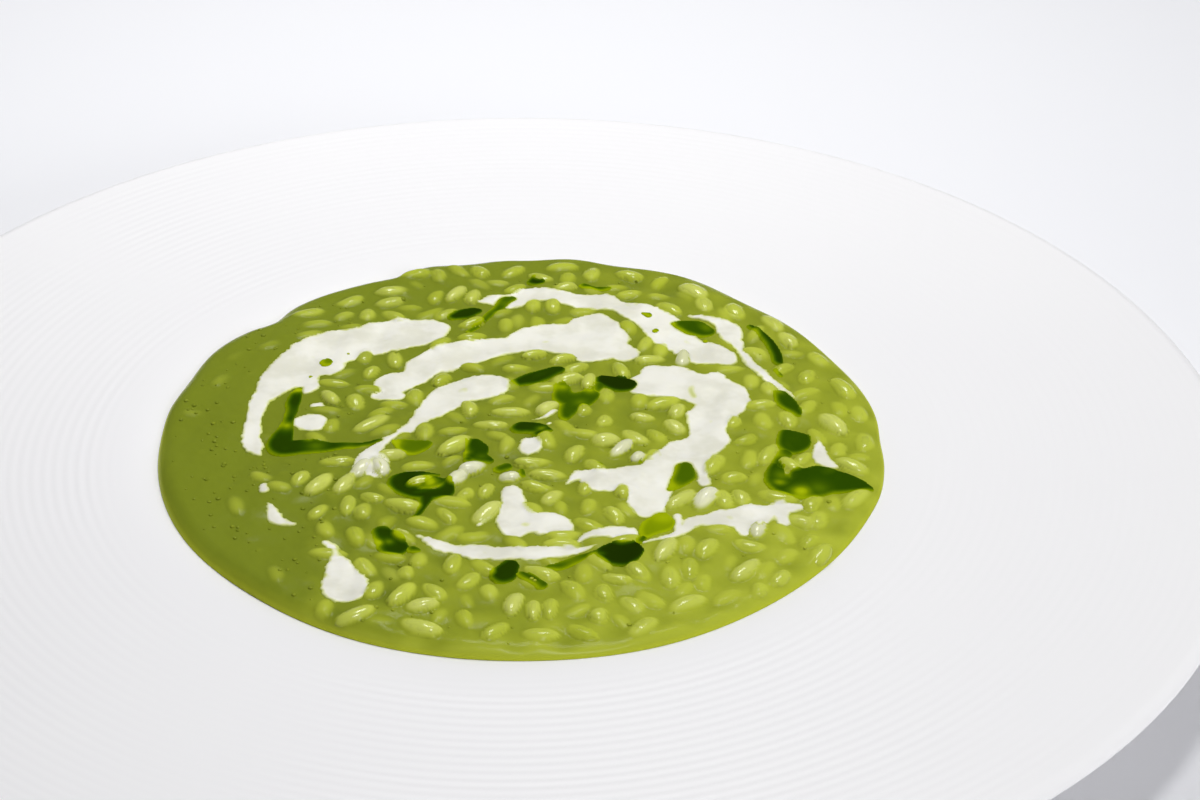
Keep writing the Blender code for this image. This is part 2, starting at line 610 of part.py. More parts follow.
def main():
    clear_scene()
    porcelain = make_material("white_porcelain", (0.86, 0.86, 0.87), 0.12)
    green = make_material("green_risotto", (0.30, 0.33, 0.03), 0.35)
    white = make_material("cream", (0.80, 0.78, 0.70), 0.35)
    herb_oil = make_material("herb_oil", (0.03, 0.07, 0.002), 0.08)

    cream = {name: [smooth_stroke(s) for s in strokes] for name, strokes in CREAM.items()}
    oil = {name: [smooth_stroke(s) for s in strokes] for name, strokes in OIL.items()}
    all_cream = [curve for curves in cream.values() for curve in curves]
    all_oil = [curve for curves in oil.values() for curve in curves]

    make_plate(porcelain)
    pool = make_pool(green)
    ground = BVHTree.FromObject(pool, bpy.context.evaluated_depsgraph_get())
    for name, curves in cream.items():
        make_topping(name, curves, all_oil, CREAM_EDGE, CREAM_THICKNESS, ground, white)
    for name, curves in oil.items():
        make_topping(name, curves, [], OIL_EDGE, OIL_THICKNESS, ground, herb_oil)
    fuse_grains(pool, all_cream + all_oil)


main()
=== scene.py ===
import math

import bpy
import numpy as np
from mathutils import Matrix, Vector


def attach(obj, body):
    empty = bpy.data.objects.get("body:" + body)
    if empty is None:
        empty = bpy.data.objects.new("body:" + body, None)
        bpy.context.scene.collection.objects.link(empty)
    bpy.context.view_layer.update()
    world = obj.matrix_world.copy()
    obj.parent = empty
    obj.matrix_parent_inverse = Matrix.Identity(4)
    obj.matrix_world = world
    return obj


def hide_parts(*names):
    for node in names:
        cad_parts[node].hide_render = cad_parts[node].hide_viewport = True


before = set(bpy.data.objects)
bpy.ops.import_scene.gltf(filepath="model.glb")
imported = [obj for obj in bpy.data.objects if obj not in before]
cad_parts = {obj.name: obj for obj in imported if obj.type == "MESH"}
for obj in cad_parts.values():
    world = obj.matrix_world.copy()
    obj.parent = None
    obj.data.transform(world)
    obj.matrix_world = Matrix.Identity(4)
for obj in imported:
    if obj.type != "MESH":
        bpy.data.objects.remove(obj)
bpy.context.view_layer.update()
MM = 0.001                  # metres in a millimetre; the sizes below are in millimetres

# ---- camera: where the dish is seen from
CAMERA_DISTANCE = 677.0     # to the middle of the plate at rim height
CAMERA_ELEVATION = 32.65
CAMERA_LENS = 98.1          # on a sensor 36 wide
CAMERA_AIM = (18.36, 16.7)  # the point at rim height in the middle of the picture
CAMERA_ROLL = 0.29

# ---- plate, as in the CAD
PLATE_RADIUS = 150.0
RIM_TOP = 24.0
WELL_FLOOR = 7.4
FOOT_OUTER = 59.0
FOOT_INNER = 55.0
FOOT_RECESS = 2.6
PLATE_TOP = [
    (0.0, WELL_FLOOR), (42.0, WELL_FLOOR), (53.0, 8.8), (60.0, 12.4), (65.0, 17.0), (69.0, 20.8),
    (72.0, 22.6), (75.0, 23.4), (79.0, 23.8), (86.0, RIM_TOP), (146.5, RIM_TOP + 0.1),
]
PLATE_EDGE = [
    (148.3, 23.9), (149.3, 23.4), (149.85, 22.8), (PLATE_RADIUS, 22.3), (149.85, 21.8), (149.4, 21.3),
]
PLATE_UNDER = [
    (146.0, 20.4), (94.0, 19.4), (81.0, 18.4), (73.5, 14.6), (66.0, 8.0), (61.0, 3.4),
    (FOOT_OUTER + 0.6, 0.7), (FOOT_OUTER, 0.1), (FOOT_OUTER - 0.6, 0.0), (FOOT_INNER + 0.6, 0.0),
    (FOOT_INNER, 0.15), (FOOT_INNER - 1.6, FOOT_RECESS),
]
PLATE_SEGMENTS = 256
PROFILE_STEP = 0.25         # distance between the radii at which the plate's curve is worked out
RING_PITCH = 2.28           # fine turned rings on the rim
RING_DEPTH = 0.045
RING_FROM = 80.0
RING_TO = 146.0
RING_SEED = 8

# ---- pool of risotto, as in the CAD
POOL_RADIUS = 75.0
POOL_SHIFT = (1.7, 0.9)
POOL_LOBES = [              # direction in degrees, swell, half width in degrees
    (0, -0.6, 5), (25, -0.7, 9), (62, 2.5, 9), (80, 2.6, 7), (91, 1.2, 5), (104, 1.4, 4.5), (110, -0.8, 4),
    (125, 0.7, 9), (136, -1.5, 4), (149, 1.3, 8), (167, 0.5, 6), (226, -1.1, 14), (290, 1.0, 16),
    (345, 0.4, 6),
]
POOL_LEVEL = 25.0
POOL_CROWN = 1.0
EDGE_WIDTH = 4.0            # steeper than in the CAD
EDGE_ROUNDNESS = 0.65
DIP_SIZE = 8.5              # dips and swells between the grains
DIP_HEIGHT = 0.26
DIP_DEPTH = 0.42
DIP_SEED = 51
SHADE_SIZE = 16.0           # wide patches of paler and darker sauce
SHADE_SEED = 61
SWELLS = [                  # length, direction in degrees, phase and height
    (47.0, 20, 0.4, 0.22), (31.0, 75, 1.9, 0.20), (23.0, 130, 3.1, 0.17), (17.0, 165, 5.0, 0.12),
]
POOL_SEGMENTS = 840         # facets round the pool's edge; half as many at each halving of the radius
POOL_STEP = 0.5             # distance between its rings
POOL_EDGE_STEPS = (2.8, 2.5, 2.2, 1.9, 1.6, 1.35, 1.1, 0.9, 0.7, 0.5, 0.35, 0.2, 0.1, 0.03, 0.0)
UNDER_GAP = 0.3             # between its bottom and the porcelain
POOL_UNDER = [              # radius and facets of the rings of its bottom
    (72.0, 420), (69.0, 210), (65.0, 105), (60.0, 105), (53.0, 105), (42.0, 105),
]

# ---- grains of rice
# The grains that stand out: x, y, turn in degrees, length, width, and height of the top above the pool.
GRAINS_SEEN = [
    # middle
    (-25.3, 32.3, 95, 7.5, 3.6, 0.4), (-8.5, 27.6, 150, 6.0, 3.2, 0.2), (-20.3, 16.3, 95, 8.2, 3.9, 0.4),
    (-9.5, 11.3, 100, 6.6, 3.4, 0.7), (-0.5, 9.8, 2, 8.5, 3.2, 0.5), (7.3, 11.1, 50, 6.5, 4.0, 1.0),
    (-18.5, 2.8, 92, 7.3, 4.0, 0.35), (-4.8, 4.7, 174, 7.6, 3.1, 0.6), (-3.5, 0.6, 150, 6.0, 3.4, 0.0),
    (-12.2, -2.6, 42, 9.2, 4.6, 1.2), (-1.6, -3.4, 80, 7.0, 3.4, 0.2), (19.0, -1.9, 12, 6.3, 4.8, 1.2),
    (12.7, -6.9, 68, 7.0, 3.6, 0.6), (4.2, -10.2, 178, 8.6, 3.2, 0.6), (7.0, -14.5, 172, 8.0, 3.3, 0.5),
    (-18.5, -16.2, 18, 7.4, 3.8, 0.8), (4.8, -18.6, 155, 7.5, 3.5, 0.6), (7.8, -22.8, 52, 6.2, 3.6, 0.6),
    (-22.2, -24.9, 162, 8.4, 4.2, 1.0), (-13.0, -23.8, 168, 9.0, 4.2, 0.25),
    (-10.0, -20.5, 60, 4.6, 3.2, 0.4), (-5.6, -27.6, 56, 9.8, 4.6, 1.0), (19.6, 15.8, 90, 7.2, 3.8, 0.3),
    (18.6, 6.0, 80, 5.2, 3.4, 0.5), (14.5, 10.4, 90, 5.2, 3.2, 0.3), (26.5, 13.8, 88, 6.2, 4.0, 0.2),
    (27.0, 7.6, 160, 5.6, 3.2, 0.6), (25.2, -0.2, 130, 8.2, 4.0, 0.5), (28.3, -7.8, 72, 5.4, 3.4, 0.4),
    (6.5, 19.6, 2, 7.6, 4.0, 0.3), (16.1, 21.4, 82, 7.0, 3.1, 0.9), (11.4, 22.2, 20, 7.6, 4.0, 0.7),
    (1.0, 26.6, 0, 6.6, 3.4, 0.3), (29.7, 31.0, 4, 7.2, 3.6, 0.6), (-12.6, 2.8, 10, 6.4, 2.9, 0.2),
    (14.2, -19.2, 82, 5.4, 3.2, 0.4), (14.5, -26.2, 80, 6.2, 3.3, 0.3), (10.5, 2.6, 118, 7.6, 4.0, 0.0),
    (33.5, 3.9, 120, 6.8, 4.0, 0.7), (34.5, 10.1, 70, 5.6, 3.4, 0.7), (31.6, 13.0, 22, 8.0, 3.8, 0.5),
    (14.6, 1.0, 160, 6.4, 3.6, 0.1), (21.8, -20.8, 88, 5.4, 3.4, 0.6),
    # right
    (66.4, 4.4, 118, 9.6, 5.0, 1.2), (69.0, -12.1, 135, 8.8, 4.5, 0.9), (52.4, -7.0, 66, 8.6, 3.6, 0.8),
    (56.6, -11.4, 122, 6.8, 3.6, 0.9), (59.4, -8.8, 60, 5.4, 3.2, 0.3), (40.9, -10.9, 66, 8.2, 4.3, 0.6),
    (44.6, -15.8, 20, 5.8, 4.1, 0.6), (52.2, 5.8, 100, 7.2, 4.0, 0.2), (57.0, 6.2, 106, 6.6, 3.8, 0.4),
    (45.6, 5.2, 78, 5.4, 3.4, 0.5), (54.4, 18.0, 100, 6.2, 3.6, 0.4), (50.4, 21.2, 90, 6.4, 3.8, 0.2),
    (69.9, 18.4, 112, 9.2, 4.0, 0.8), (72.3, -1.8, 88, 8.6, 4.2, 0.5), (67.2, -5.0, 80, 6.2, 3.5, 0.2),
    (69.0, -23.8, 52, 8.4, 4.4, 0.7), (60.3, -24.8, 66, 6.4, 3.8, 0.4), (33.6, -23.0, 48, 9.0, 3.7, 0.8),
    (42.2, -23.2, 96, 7.4, 3.6, 0.7), (45.6, -22.9, 104, 6.6, 3.6, 0.4), (72.6, 9.2, 96, 7.4, 4.0, 0.3),
    (60.6, -30.2, 80, 6.4, 4.0, 0.4), (56.8, -30.8, 150, 6.2, 3.8, 0.4),
    # near side, from left to right
    (-39.4, -16.6, 62, 9.6, 4.2, 1.0), (-34.2, -16.5, 68, 8.4, 3.7, 0.8), (-43.2, -15.1, 70, 6.4, 3.6, 0.6),
    (-28.5, -21.9, 148, 5.6, 3.4, 0.6), (-29.8, -26.8, 86, 6.6, 3.9, 0.3),
    (-39.0, -26.4, 60, 6.2, 3.8, 0.5), (-37.2, -32.4, 104, 7.2, 3.8, 0.2),
    (-18.2, -31.6, 156, 7.6, 4.2, 0.4), (-8.0, -35.6, 4, 8.0, 4.2, 0.2), (-11.9, -44.7, 80, 7.8, 3.6, 0.5),
    (-28.8, -45.8, 118, 8.0, 4.2, 0.5), (-18.8, -43.6, 86, 6.2, 3.8, 0.2),
    (-20.8, -48.1, 100, 5.0, 3.4, 0.4), (-21.8, -55.4, 58, 8.8, 4.1, 0.9),
    (-15.8, -54.4, 126, 7.2, 4.0, 0.6), (-17.9, -59.2, 18, 7.0, 4.0, 0.8),
    (-30.6, -61.3, 26, 8.8, 4.4, 0.8), (-18.2, -65.4, 152, 10.0, 4.9, 1.0),
    (-0.1, -58.0, 76, 8.4, 3.7, 0.8), (3.4, -60.4, 88, 6.8, 2.9, 0.7), (6.7, -60.2, 86, 7.2, 3.0, 0.7),
    (5.2, -47.8, 150, 8.2, 4.1, 0.9), (-4.8, -54.6, 100, 6.4, 4.0, 0.3),
    (-46.6, -47.0, 106, 7.8, 4.2, -0.1), (-36.6, -58.8, 84, 6.2, 3.8, 0.2),
    (-55.8, -23.0, 104, 8.8, 4.4, 0.1), (29.4, -41.8, 66, 9.0, 3.9, 0.9), (37.8, -40.9, 64, 7.4, 4.1, 0.7),
    (34.0, -47.4, 86, 7.0, 3.2, 0.4), (44.8, -47.5, 52, 9.0, 4.0, 0.8), (36.6, -52.0, 80, 5.4, 3.4, 0.3),
    (51.2, -50.8, 60, 6.2, 3.4, 0.7), (46.8, -54.8, 82, 5.2, 3.4, 0.6), (60.0, -42.8, 62, 8.2, 3.9, 0.9),
    (58.2, -38.0, 60, 5.6, 3.5, 0.5), (33.0, -59.2, 36, 9.0, 4.5, 0.7), (16.2, -62.5, 84, 5.2, 3.6, 0.9),
    (24.0, -66.5, 50, 8.4, 4.4, 0.5), (22.4, -59.2, 124, 7.2, 4.2, 0.3), (17.2, -55.1, 96, 5.8, 3.6, 0.6),
    (11.0, -54.4, 114, 8.4, 4.0, 0.4), (53.4, -43.0, 60, 6.4, 3.8, 0.2),
    # left
    (-62.0, 25.2, 62, 8.0, 4.0, -0.05), (-29.4, 5.8, 40, 10.0, 4.5, 0.7), (-37.6, 5.3, 80, 6.2, 4.0, 0.3),
    (-38.6, 16.1, 114, 6.6, 3.3, 0.9), (-38.2, 22.3, 170, 7.2, 3.3, 0.4), (-36.5, -8.3, 6, 8.0, 3.7, 0.5),
    (-51.0, -13.4, 140, 6.4, 3.7, 0.2), (-25.0, 13.6, 172, 6.4, 3.5, 0.2), (-27.6, 10.2, 30, 6.4, 3.5, 0.2),
    (-24.9, -5.6, 20, 6.2, 3.6, 0.7), (-31.6, 33.8, 82, 7.0, 3.6, 0.3), (-47.4, -17.6, 150, 6.2, 3.8, 0.25),
    (-52.4, 38.2, 30, 7.0, 3.8, -0.1),
    # far side, from left to right
    (-7.6, 70.0, 118, 6.4, 4.0, 0.5), (-12.3, 60.0, 62, 8.0, 3.5, 0.8), (-8.6, 58.8, 78, 7.2, 3.4, 0.7),
    (-16.6, 59.0, 70, 6.2, 3.6, 0.3), (-26.4, 61.8, 4, 8.2, 4.6, 0.5), (-27.2, 57.2, 22, 7.4, 4.0, 0.4),
    (-36.2, 58.4, 32, 8.2, 4.4, 0.4), (-32.0, 51.6, 86, 6.4, 4.0, 0.5), (-21.6, 69.0, 18, 8.2, 4.5, 0.5),
    (-16.4, 68.2, 100, 7.0, 3.8, 0.3), (11.4, 72.4, 4, 8.2, 4.4, 0.5), (18.3, 69.2, 82, 7.2, 4.2, 0.5),
    (12.4, 66.8, 80, 6.2, 3.8, 0.3), (11.6, 62.4, 20, 6.4, 3.9, 0.5), (4.6, 54.6, 86, 6.2, 3.7, 0.5),
    (9.2, 54.4, 90, 6.4, 3.6, 0.5), (40.4, 59.6, 126, 9.4, 4.9, 0.9), (49.4, 51.4, 106, 8.0, 4.9, 0.8),
    (56.8, 46.0, 116, 8.8, 4.2, 0.5), (59.6, 39.2, 116, 7.0, 3.7, 0.6), (66.0, 31.2, 116, 8.0, 4.2, 0.5),
    (26.2, 59.2, 12, 6.4, 3.8, 0.3), (32.2, 35.4, 82, 7.2, 3.9, 0.3), (42.4, 53.8, 98, 7.0, 4.2, 0.4),
]
GRAINS_GLAZED = [           # whitish ones, with cream on them
    (-31.4, -11.6, 62, 7.6, 4.0, 1.0), (-27.6, -10.6, 106, 7.6, 4.0, 1.1), (36.4, 30.6, 82, 8.0, 3.4, 0.6),
    (38.6, -23.4, 64, 8.6, 4.3, 1.1), (48.4, -33.8, 74, 6.2, 3.3, 0.8), (22.0, -5.3, 58, 8.4, 3.2, 0.8),
    (25.2, -8.6, 65, 4.2, 3.0, 0.8), (-8.3, -11.6, 28, 6.5, 4.0, 1.1), (-11.4, -15.1, 62, 6.6, 4.0, 1.0),
    (-1.0, -14.8, 5, 4.8, 3.6, 0.8),
]
GRAIN_SEED = 5
GRAIN_FILL = [              # how many at most, how far apart, lowest and highest top, how deep under cream
    (120, 4.5, 0.2, 0.9, 0.0), (280, 3.3, -0.2, 0.5, 0.6), (180, 2.8, -0.5, 0.0, 0.6),
    (160, 3.2, -1.2, -0.5, 99.0),
]
GRAIN_MARGIN = 4.5          # how far from the pool's edge the seeded ones stay
CLEAR_LEFT = -41.0          # left of this the sauce is nearly free of them
CLEAR_SHARE = (0.0, 0.0, 0.01, 0.04)    # the chance that a grain of each set of GRAIN_FILL stays there
GRAIN_SHOWN = -0.35         # grains whose top lies deeper than this have no mesh of their own
GRAIN_SECTIONS = 13
GRAIN_SIDES = 14
GRAIN_LENGTH = (7.4, 0.9, 5.2, 9.4)     # of the seeded grains: mean, spread, least and most
FILL_TONE = (0.05, 0.6)     # how pale they are
GRAIN_THICKNESS = 0.86      # over the width
GRAIN_BEND = 0.45
GRAIN_BLUNT = 0.14
GRAIN_TILT = 0.12
PROUD_FROM = 0.25           # grains whose top is higher than this stand proud of the sauce
FILM_PROUD = (0.03, 0.14)   # how far a grain's top stands clear of the sauce that rides up it
FILM_SUNK = (-0.12, 0.05)   # the same for low grains, which the sauce can cover
FILLET = 1.1                # how softly the sauce rides up a grain
SAUCE_RIPPLES = [(0.04, 5.0, 3), (0.03, 2.2, 4)]    # its fine unevenness: height, size and seed

BUBBLE_COUNT = 190          # in the sauce
BUBBLE_LEFT = -35.0         # most of them lie left of this
BUBBLE_RADIUS = (0.22, 0.55)
BUBBLE_SEED = 3
BUBBLE_SIDES = 10
BUBBLE_RINGS = (0.0, 0.5, 0.87, 0.98)   # heights of a dome's rings, over its radius
BUBBLE_HEIGHT = 0.55        # how high a dome is, over its radius

# ---- cream, as in the CAD
# Strokes of points: x, y and half the width there.
CREAM = {
    "cream_left_arc": [
        [(-52.2, -4.4, 0.8), (-53.7, -0.8, 2.3), (-54.1, 5, 2.1), (-53.9, 10, 1.95), (-53.2, 15, 2.5),
         (-51.2, 20, 3.4), (-48.6, 25.4, 5.0), (-45.4, 30, 6.0), (-41.4, 34.8, 7.1), (-37, 38.6, 7.0),
         (-31.8, 41, 5.4), (-26, 42.8, 7.2), (-21, 43.6, 6.6), (-18.4, 44, 5.0)],
        [(-29.2, 37.4, 3.6)],
        [(-46, 27, 5.0), (-43.4, 22, 2.7), (-43.6, 18.7, 1.5)],
        [(-43, 29.8, 5.0), (-39.6, 29.6, 3.9)],
    ],
    "cream_middle_arc": [
        [(-25.6, 22.4, 4.3), (-21.6, 24.8, 3.6), (-17.8, 29.6, 4.9), (-13, 32.6, 5.0), (-7, 34.9, 5.0),
         (-2, 36.2, 4.0), (1, 37, 3.8), (4.2, 39.4, 5.4), (8, 40.4, 6.6), (12, 40, 7.4), (17, 40.2, 8.0)],
        [(-28.6, 18.2, 2.0), (-25.2, 17.8, 2.6)],
        [(17.6, 45.4, 6.0)],
        [(17.4, 34.6, 5.4)],
        [(18, 41, 6.0), (21.6, 40.4, 4.2)],
        [(20, 38, 5.0), (23.8, 34.2, 3.7)],
    ],
    "cream_inner_tail": [
        [(-4.8, 20, 4.6), (-9, 19.5, 5.1), (-13, 17, 4.6), (-16, 12.4, 3.9), (-18.6, 8.4, 2.6),
         (-21.2, 4.6, 1.5), (-24.2, 0.9, 1.2), (-27, -2.2, 1.3), (-29.6, -6.4, 2.4), (-30.2, -9.2, 3.0),
         (-28.6, -11.8, 2.9)],
        [(-27.6, -8, 2.4)],
    ],
    "cream_top_arc": [
        [(-8.4, 56.4, 0.6), (-4.6, 57, 1.8), (0, 56.7, 3.3), (4, 58.9, 3.7), (9, 59, 2.8), (13, 57.4, 3.0),
         (17, 56.2, 3.5), (20, 55.9, 3.5), (23.3, 54.4, 2.9), (26.5, 52.2, 3.6), (29.5, 49.5, 4.3),
         (32.5, 45.6, 4.7), (34.6, 40.6, 4.8), (37.4, 36.8, 4.4), (40.8, 33.4, 5.0), (43.4, 32.4, 4.6),
         (45.2, 31, 3.2)],
    ],
    "cream_right_strand": [
        [(38.9, 48.6, 0.6), (42.4, 47.8, 1.1), (45.8, 46.2, 2.0), (47.3, 43.2, 2.9), (47.7, 39.6, 2.5),
         (48.6, 36.2, 1.5), (49.8, 33, 1.0), (50.8, 29.8, 1.3), (52.6, 26.2, 1.5), (54.6, 22, 1.4),
         (56.5, 19, 1.2), (58.4, 16, 0.8), (59.8, 13.6, 0.4)],
    ],
    "cream_big_right": [
        [(29.2, 20.4, 5.4), (33, 21.4, 6.6), (38, 19.6, 6.0), (42.4, 17.2, 6.6), (44.2, 13, 5.6),
         (41.4, 8, 5.2), (40.4, 2.8, 4.2), (40.2, -1.6, 4.8), (36, -5.8, 5.2), (32.4, -10, 4.8),
         (29, -15, 5.0), (27, -20, 5.2), (26.6, -25.4, 4.2)],
        [(30.6, 24.6, 3.9)],
        [(42.4, 21.6, 3.6)],
        [(47.4, 13.2, 3.0)],
        [(26, -15.6, 4.4), (21, -16.4, 4.2), (17.4, -16.8, 4.4)],
        [(16, -14.8, 2.8), (13.4, -14.6, 1.8), (11.6, -15.8, 1.1), (10.6, -17.4, 0.6)],
        [(38, -8, 3.4), (38, -12.4, 1.6), (38.5, -17.4, 1.6)],
    ],
    "cream_spiky": [
        [(25.4, -39.1, 0.5), (29.5, -37.4, 0.8), (32.6, -35.4, 1.4), (36, -31.6, 2.0), (39.6, -30.4, 2.8),
         (43, -30.2, 3.2), (46.6, -29.3, 4.2), (50.2, -28.2, 2.6), (54, -26.8, 2.2), (57.4, -26.2, 1.0)],
        [(32.4, -28.8, 0.8), (32.4, -32, 1.1), (32.6, -35, 1.4)],
        [(45.2, -32, 2.6), (45.4, -34.8, 1.4)],
        [(48.6, -31, 2.2), (48.6, -33.2, 1.3)],
        [(53.2, -28.6, 2.2), (53.6, -31.2, 1.6)],
        [(53.4, -25.6, 1.8), (52.4, -24.8, 1.0)],
    ],
    "cream_boot": [
        [(-0.4, -20.2, 2.6), (-0.2, -24.6, 2.8), (0.4, -30.6, 4.4), (0.2, -33.4, 3.4)],
        [(0.4, -30.8, 4.4), (4, -31.9, 3.7), (8.2, -32.6, 3.8)],
    ],
    "cream_bottom_arc": [
        [(-19.4, -35.3, 0.6), (-17.4, -37, 1.3), (-14.6, -38.9, 1.8), (-12, -39.6, 1.5), (-9.4, -40.7, 2.4),
         (-6.4, -41.5, 2.6), (-3, -41.8, 2.4), (0, -41.6, 2.2), (5, -41.7, 2.2), (8.4, -41.3, 2.1),
         (10.8, -41, 1.6), (13.2, -40.7, 0.9), (16, -39.7, 0.4)],
    ],
    "cream_comma": [
        [(12.4, -38.2, 0.7), (15.2, -36.4, 1.6), (18.2, -35.6, 2.0), (21, -35.2, 2.2), (23, -35.5, 2.0)],
    ],
    "cream_oval": [[(-42.9, 6.3, 3.3), (-41.6, 6.3, 3.4)]],
    "cream_spot": [[(3.4, -2.6, 2.5), (3.5, -4.9, 2.7)]],
    "cream_teardrop": [
        [(-37.4, -37.2, 0.6), (-35.6, -39.6, 1.5), (-34.6, -42.6, 1.7), (-33.6, -47.4, 3.6),
         (-32.7, -51.8, 4.8), (-33, -52.6, 4.6)],
    ],
    "cream_left_fleck": [[(-49.1, -23.6, 0.5), (-48, -27.2, 1.5), (-46.6, -29, 1.6), (-43.9, -30, 0.7)]],
    "cream_right_fleck": [
        [(62.9, -1.2, 0.4), (63, -4.6, 1.2), (63, -8.6, 2.1), (64, -10.6, 1.9), (65.4, -11.6, 1.0)],
    ],
}
CREAM_BITS = [
    [(4.0, 7.3, 0.5), (6.5, 7.8, 0.9), (8.6, 9.4, 0.8)], [(7.5, 4.6, 0.7)],
    [(-50.6, -16.8, 1.1), (-50.4, -18.8, 1.2)], [(-41.9, 12.6, 1.0), (-40.4, 13.0, 1.0)],
    [(-7.0, -31.4, 0.8), (-5.4, -29.8, 1.0), (-4.2, -28.2, 0.8)],
    [(-23.0, -33.8, 0.9), (-21.2, -35.1, 0.8)],
]
CREAM_DEPTH = 0.22          # how far wide cream stands above the sauce
CREAM_FILM = 0.09           # how thick it is over grains
CREAM_ROUND = 1.3           # width of its rounded edge
CREAM_STEP = 0.42           # grid that its mesh is cut from
CREAM_RAGGED = [(0.30, 5.0, 21), (0.16, 2.3, 22), (0.10, 1.3, 23)]  # its ragged edge: depth, size, seed
CREAM_RELIEF = (6.0, 31)    # unevenness of its surface: size and seed
CREAM_PATCHES = (3.0, 32)   # the same for its film over grains

# ---- herb oil, as in the CAD
# How dense it looks, and its strokes.
OIL = {
    "oil_left_hook": (3.2, [
        [(-45.2, 20.4, 0.9), (-46, 16, 1.7), (-46.4, 11, 1.5), (-46.9, 7, 1.3), (-47.4, 3.4, 2.0),
         (-48.2, -0.6, 2.9), (-47.6, -2.6, 3.1), (-44, -2.6, 3.0), (-40.5, -2.8, 2.3), (-36.5, -2.6, 1.5),
         (-32.5, -2.2, 1.2), (-29.5, -1.5, 0.9), (-27.4, -0.9, 0.6)],
    ]),
    "oil_left_drop": (1.2, [
        [(-24.4, -1.6, 0.9), (-21.6, -2.8, 2.6), (-19.4, -2.8, 2.2), (-17.4, -2.0, 0.8)],
    ]),
    "oil_ring": (3.6, [
        [(-15.4, -13.4, 0.6), (-19.4, -12.9, 1.3), (-22.6, -14.4, 2.4), (-23.2, -17.2, 2.5),
         (-20.6, -20.2, 2.3), (-17.2, -21.4, 2.4), (-14.2, -20.2, 2.2), (-13.6, -17.2, 1.5),
         (-13.9, -15.4, 0.9)],
        [(-18, -16.6, 2.4), (-16, -16.2, 2.2)],
        [(-17.8, -22.4, 1.9), (-18.2, -25.4, 1.1), (-19.3, -28.4, 0.8), (-20, -29.6, 0.6)],
    ]),
    "oil_middle_left": (2.8, [
        [(-8.2, -2.6, 2.0), (-7.6, -4.6, 2.6), (-7.8, -7, 2.6), (-5.4, -8.8, 1.4)],
        [(-9.6, -8.6, 1.0)],
    ]),
    "oil_lower_left": (3.2, [[(-26.2, -34.6, 2.2), (-24.6, -37.4, 3.2), (-23.8, -39.2, 3.1)]]),
    "oil_bottom": (3.6, [[(-1.0, -45.6, 1.9), (-2.2, -48.2, 2.7), (-2.8, -49.2, 2.4)]]),
    "oil_bottom_dark": (5.5, [
        [(18.4, -43, 3.0), (20.6, -42.8, 4.1), (22.2, -42, 3.2)],
        [(23.2, -40.2, 1.6)],
    ]),
    "oil_bottom_bright": (0.55, [
        [(29.2, -29.4, 1.9), (28.8, -32, 3.2), (27, -34, 2.6), (25.8, -36.4, 1.4)],
        [(26.2, -32.4, 1.2)],
    ]),
    "oil_middle": (3.6, [
        [(0.6, 2.6, 1.5), (2.4, 3.6, 2.4), (4.6, 3, 2.4), (6.6, 1.6, 1.3), (7.6, 1, 0.7)],
        [(5, 0.6, 1.4)],
    ]),
    "oil_upper_streak": (3.4, [
        [(1, 21, 1.5), (3, 22, 2.0), (5.6, 23.4, 2.2), (8.2, 25.2, 1.9), (9.9, 26, 1.4)],
    ]),
    "oil_middle_pool": (2.0, [
        [(10.4, 19.4, 1.9), (10.6, 15.6, 2.6), (13, 14, 3.2), (15.6, 15.6, 2.6), (16.6, 18, 1.6)],
        [(12, 12, 2.4), (11.2, 9, 2.0), (10.6, 6.8, 1.4)],
    ]),
    "oil_upper_dark": (6.0, [[(19.4, 21.8, 2.2), (22, 21.1, 3.1), (23.8, 20.6, 2.6)]]),
    "oil_top_oval": (3.8, [[(-12.9, 49.5, 1.5), (-10.6, 51, 2.4), (-8.4, 52.1, 1.9)]]),
    "oil_top_streak": (1.8, [
        [(-9.6, 42.6, 0.7), (-8.2, 44.6, 0.8), (-5.6, 49.2, 1.0), (-3.2, 53.6, 1.3), (-1.6, 56.6, 1.6),
         (-0.2, 57.6, 1.3)],
    ]),
    "oil_far_drop": (4.0, [[(5.3, 65.8, 2.3), (5.2, 67.2, 1.6)]]),
    "oil_right_pool": (2.2, [[(35.4, 45.6, 0.9), (37.4, 44.9, 2.2), (40, 43.8, 3.2), (41.6, 42.8, 2.7)]]),
    "oil_right_curl": (3.4, [
        [(52, 44.8, 1.0), (53.4, 42.4, 1.0), (54.8, 39.2, 1.2), (56.2, 35.8, 1.5), (56.8, 32.6, 1.5),
         (56.8, 30.2, 1.4)],
    ]),
    "oil_right_slant": (2.4, [[(56.4, 15.8, 1.7), (57.4, 12.6, 2.3), (58.8, 9.6, 1.7), (59.4, 7.6, 1.0)]]),
    "oil_right_drop": (2.4, [[(56.8, 0.8, 2.0), (57.8, -1.8, 3.7), (57.4, -3.4, 3.4)], [(59.4, -0.6, 2.2)]]),
    "oil_leaf": (2.6, [
        [(54.4, -9.6, 1.2), (53.2, -13.4, 2.0), (53.4, -17.6, 2.9), (56.2, -20.4, 3.5), (59.8, -19.8, 3.9),
         (62.5, -17.2, 5.0), (66, -17.8, 3.9), (69.2, -19, 2.4), (71.6, -19.9, 1.2)],
        [(58.6, -16.6, 3.6), (57.4, -21, 3.0)],
    ]),
    "oil_right_tear": (1.5, [
        [(34.6, -12.2, 2.0), (34.6, -14.8, 2.5), (33.2, -17.4, 1.9), (31.6, -19.4, 0.9)],
    ]),
}
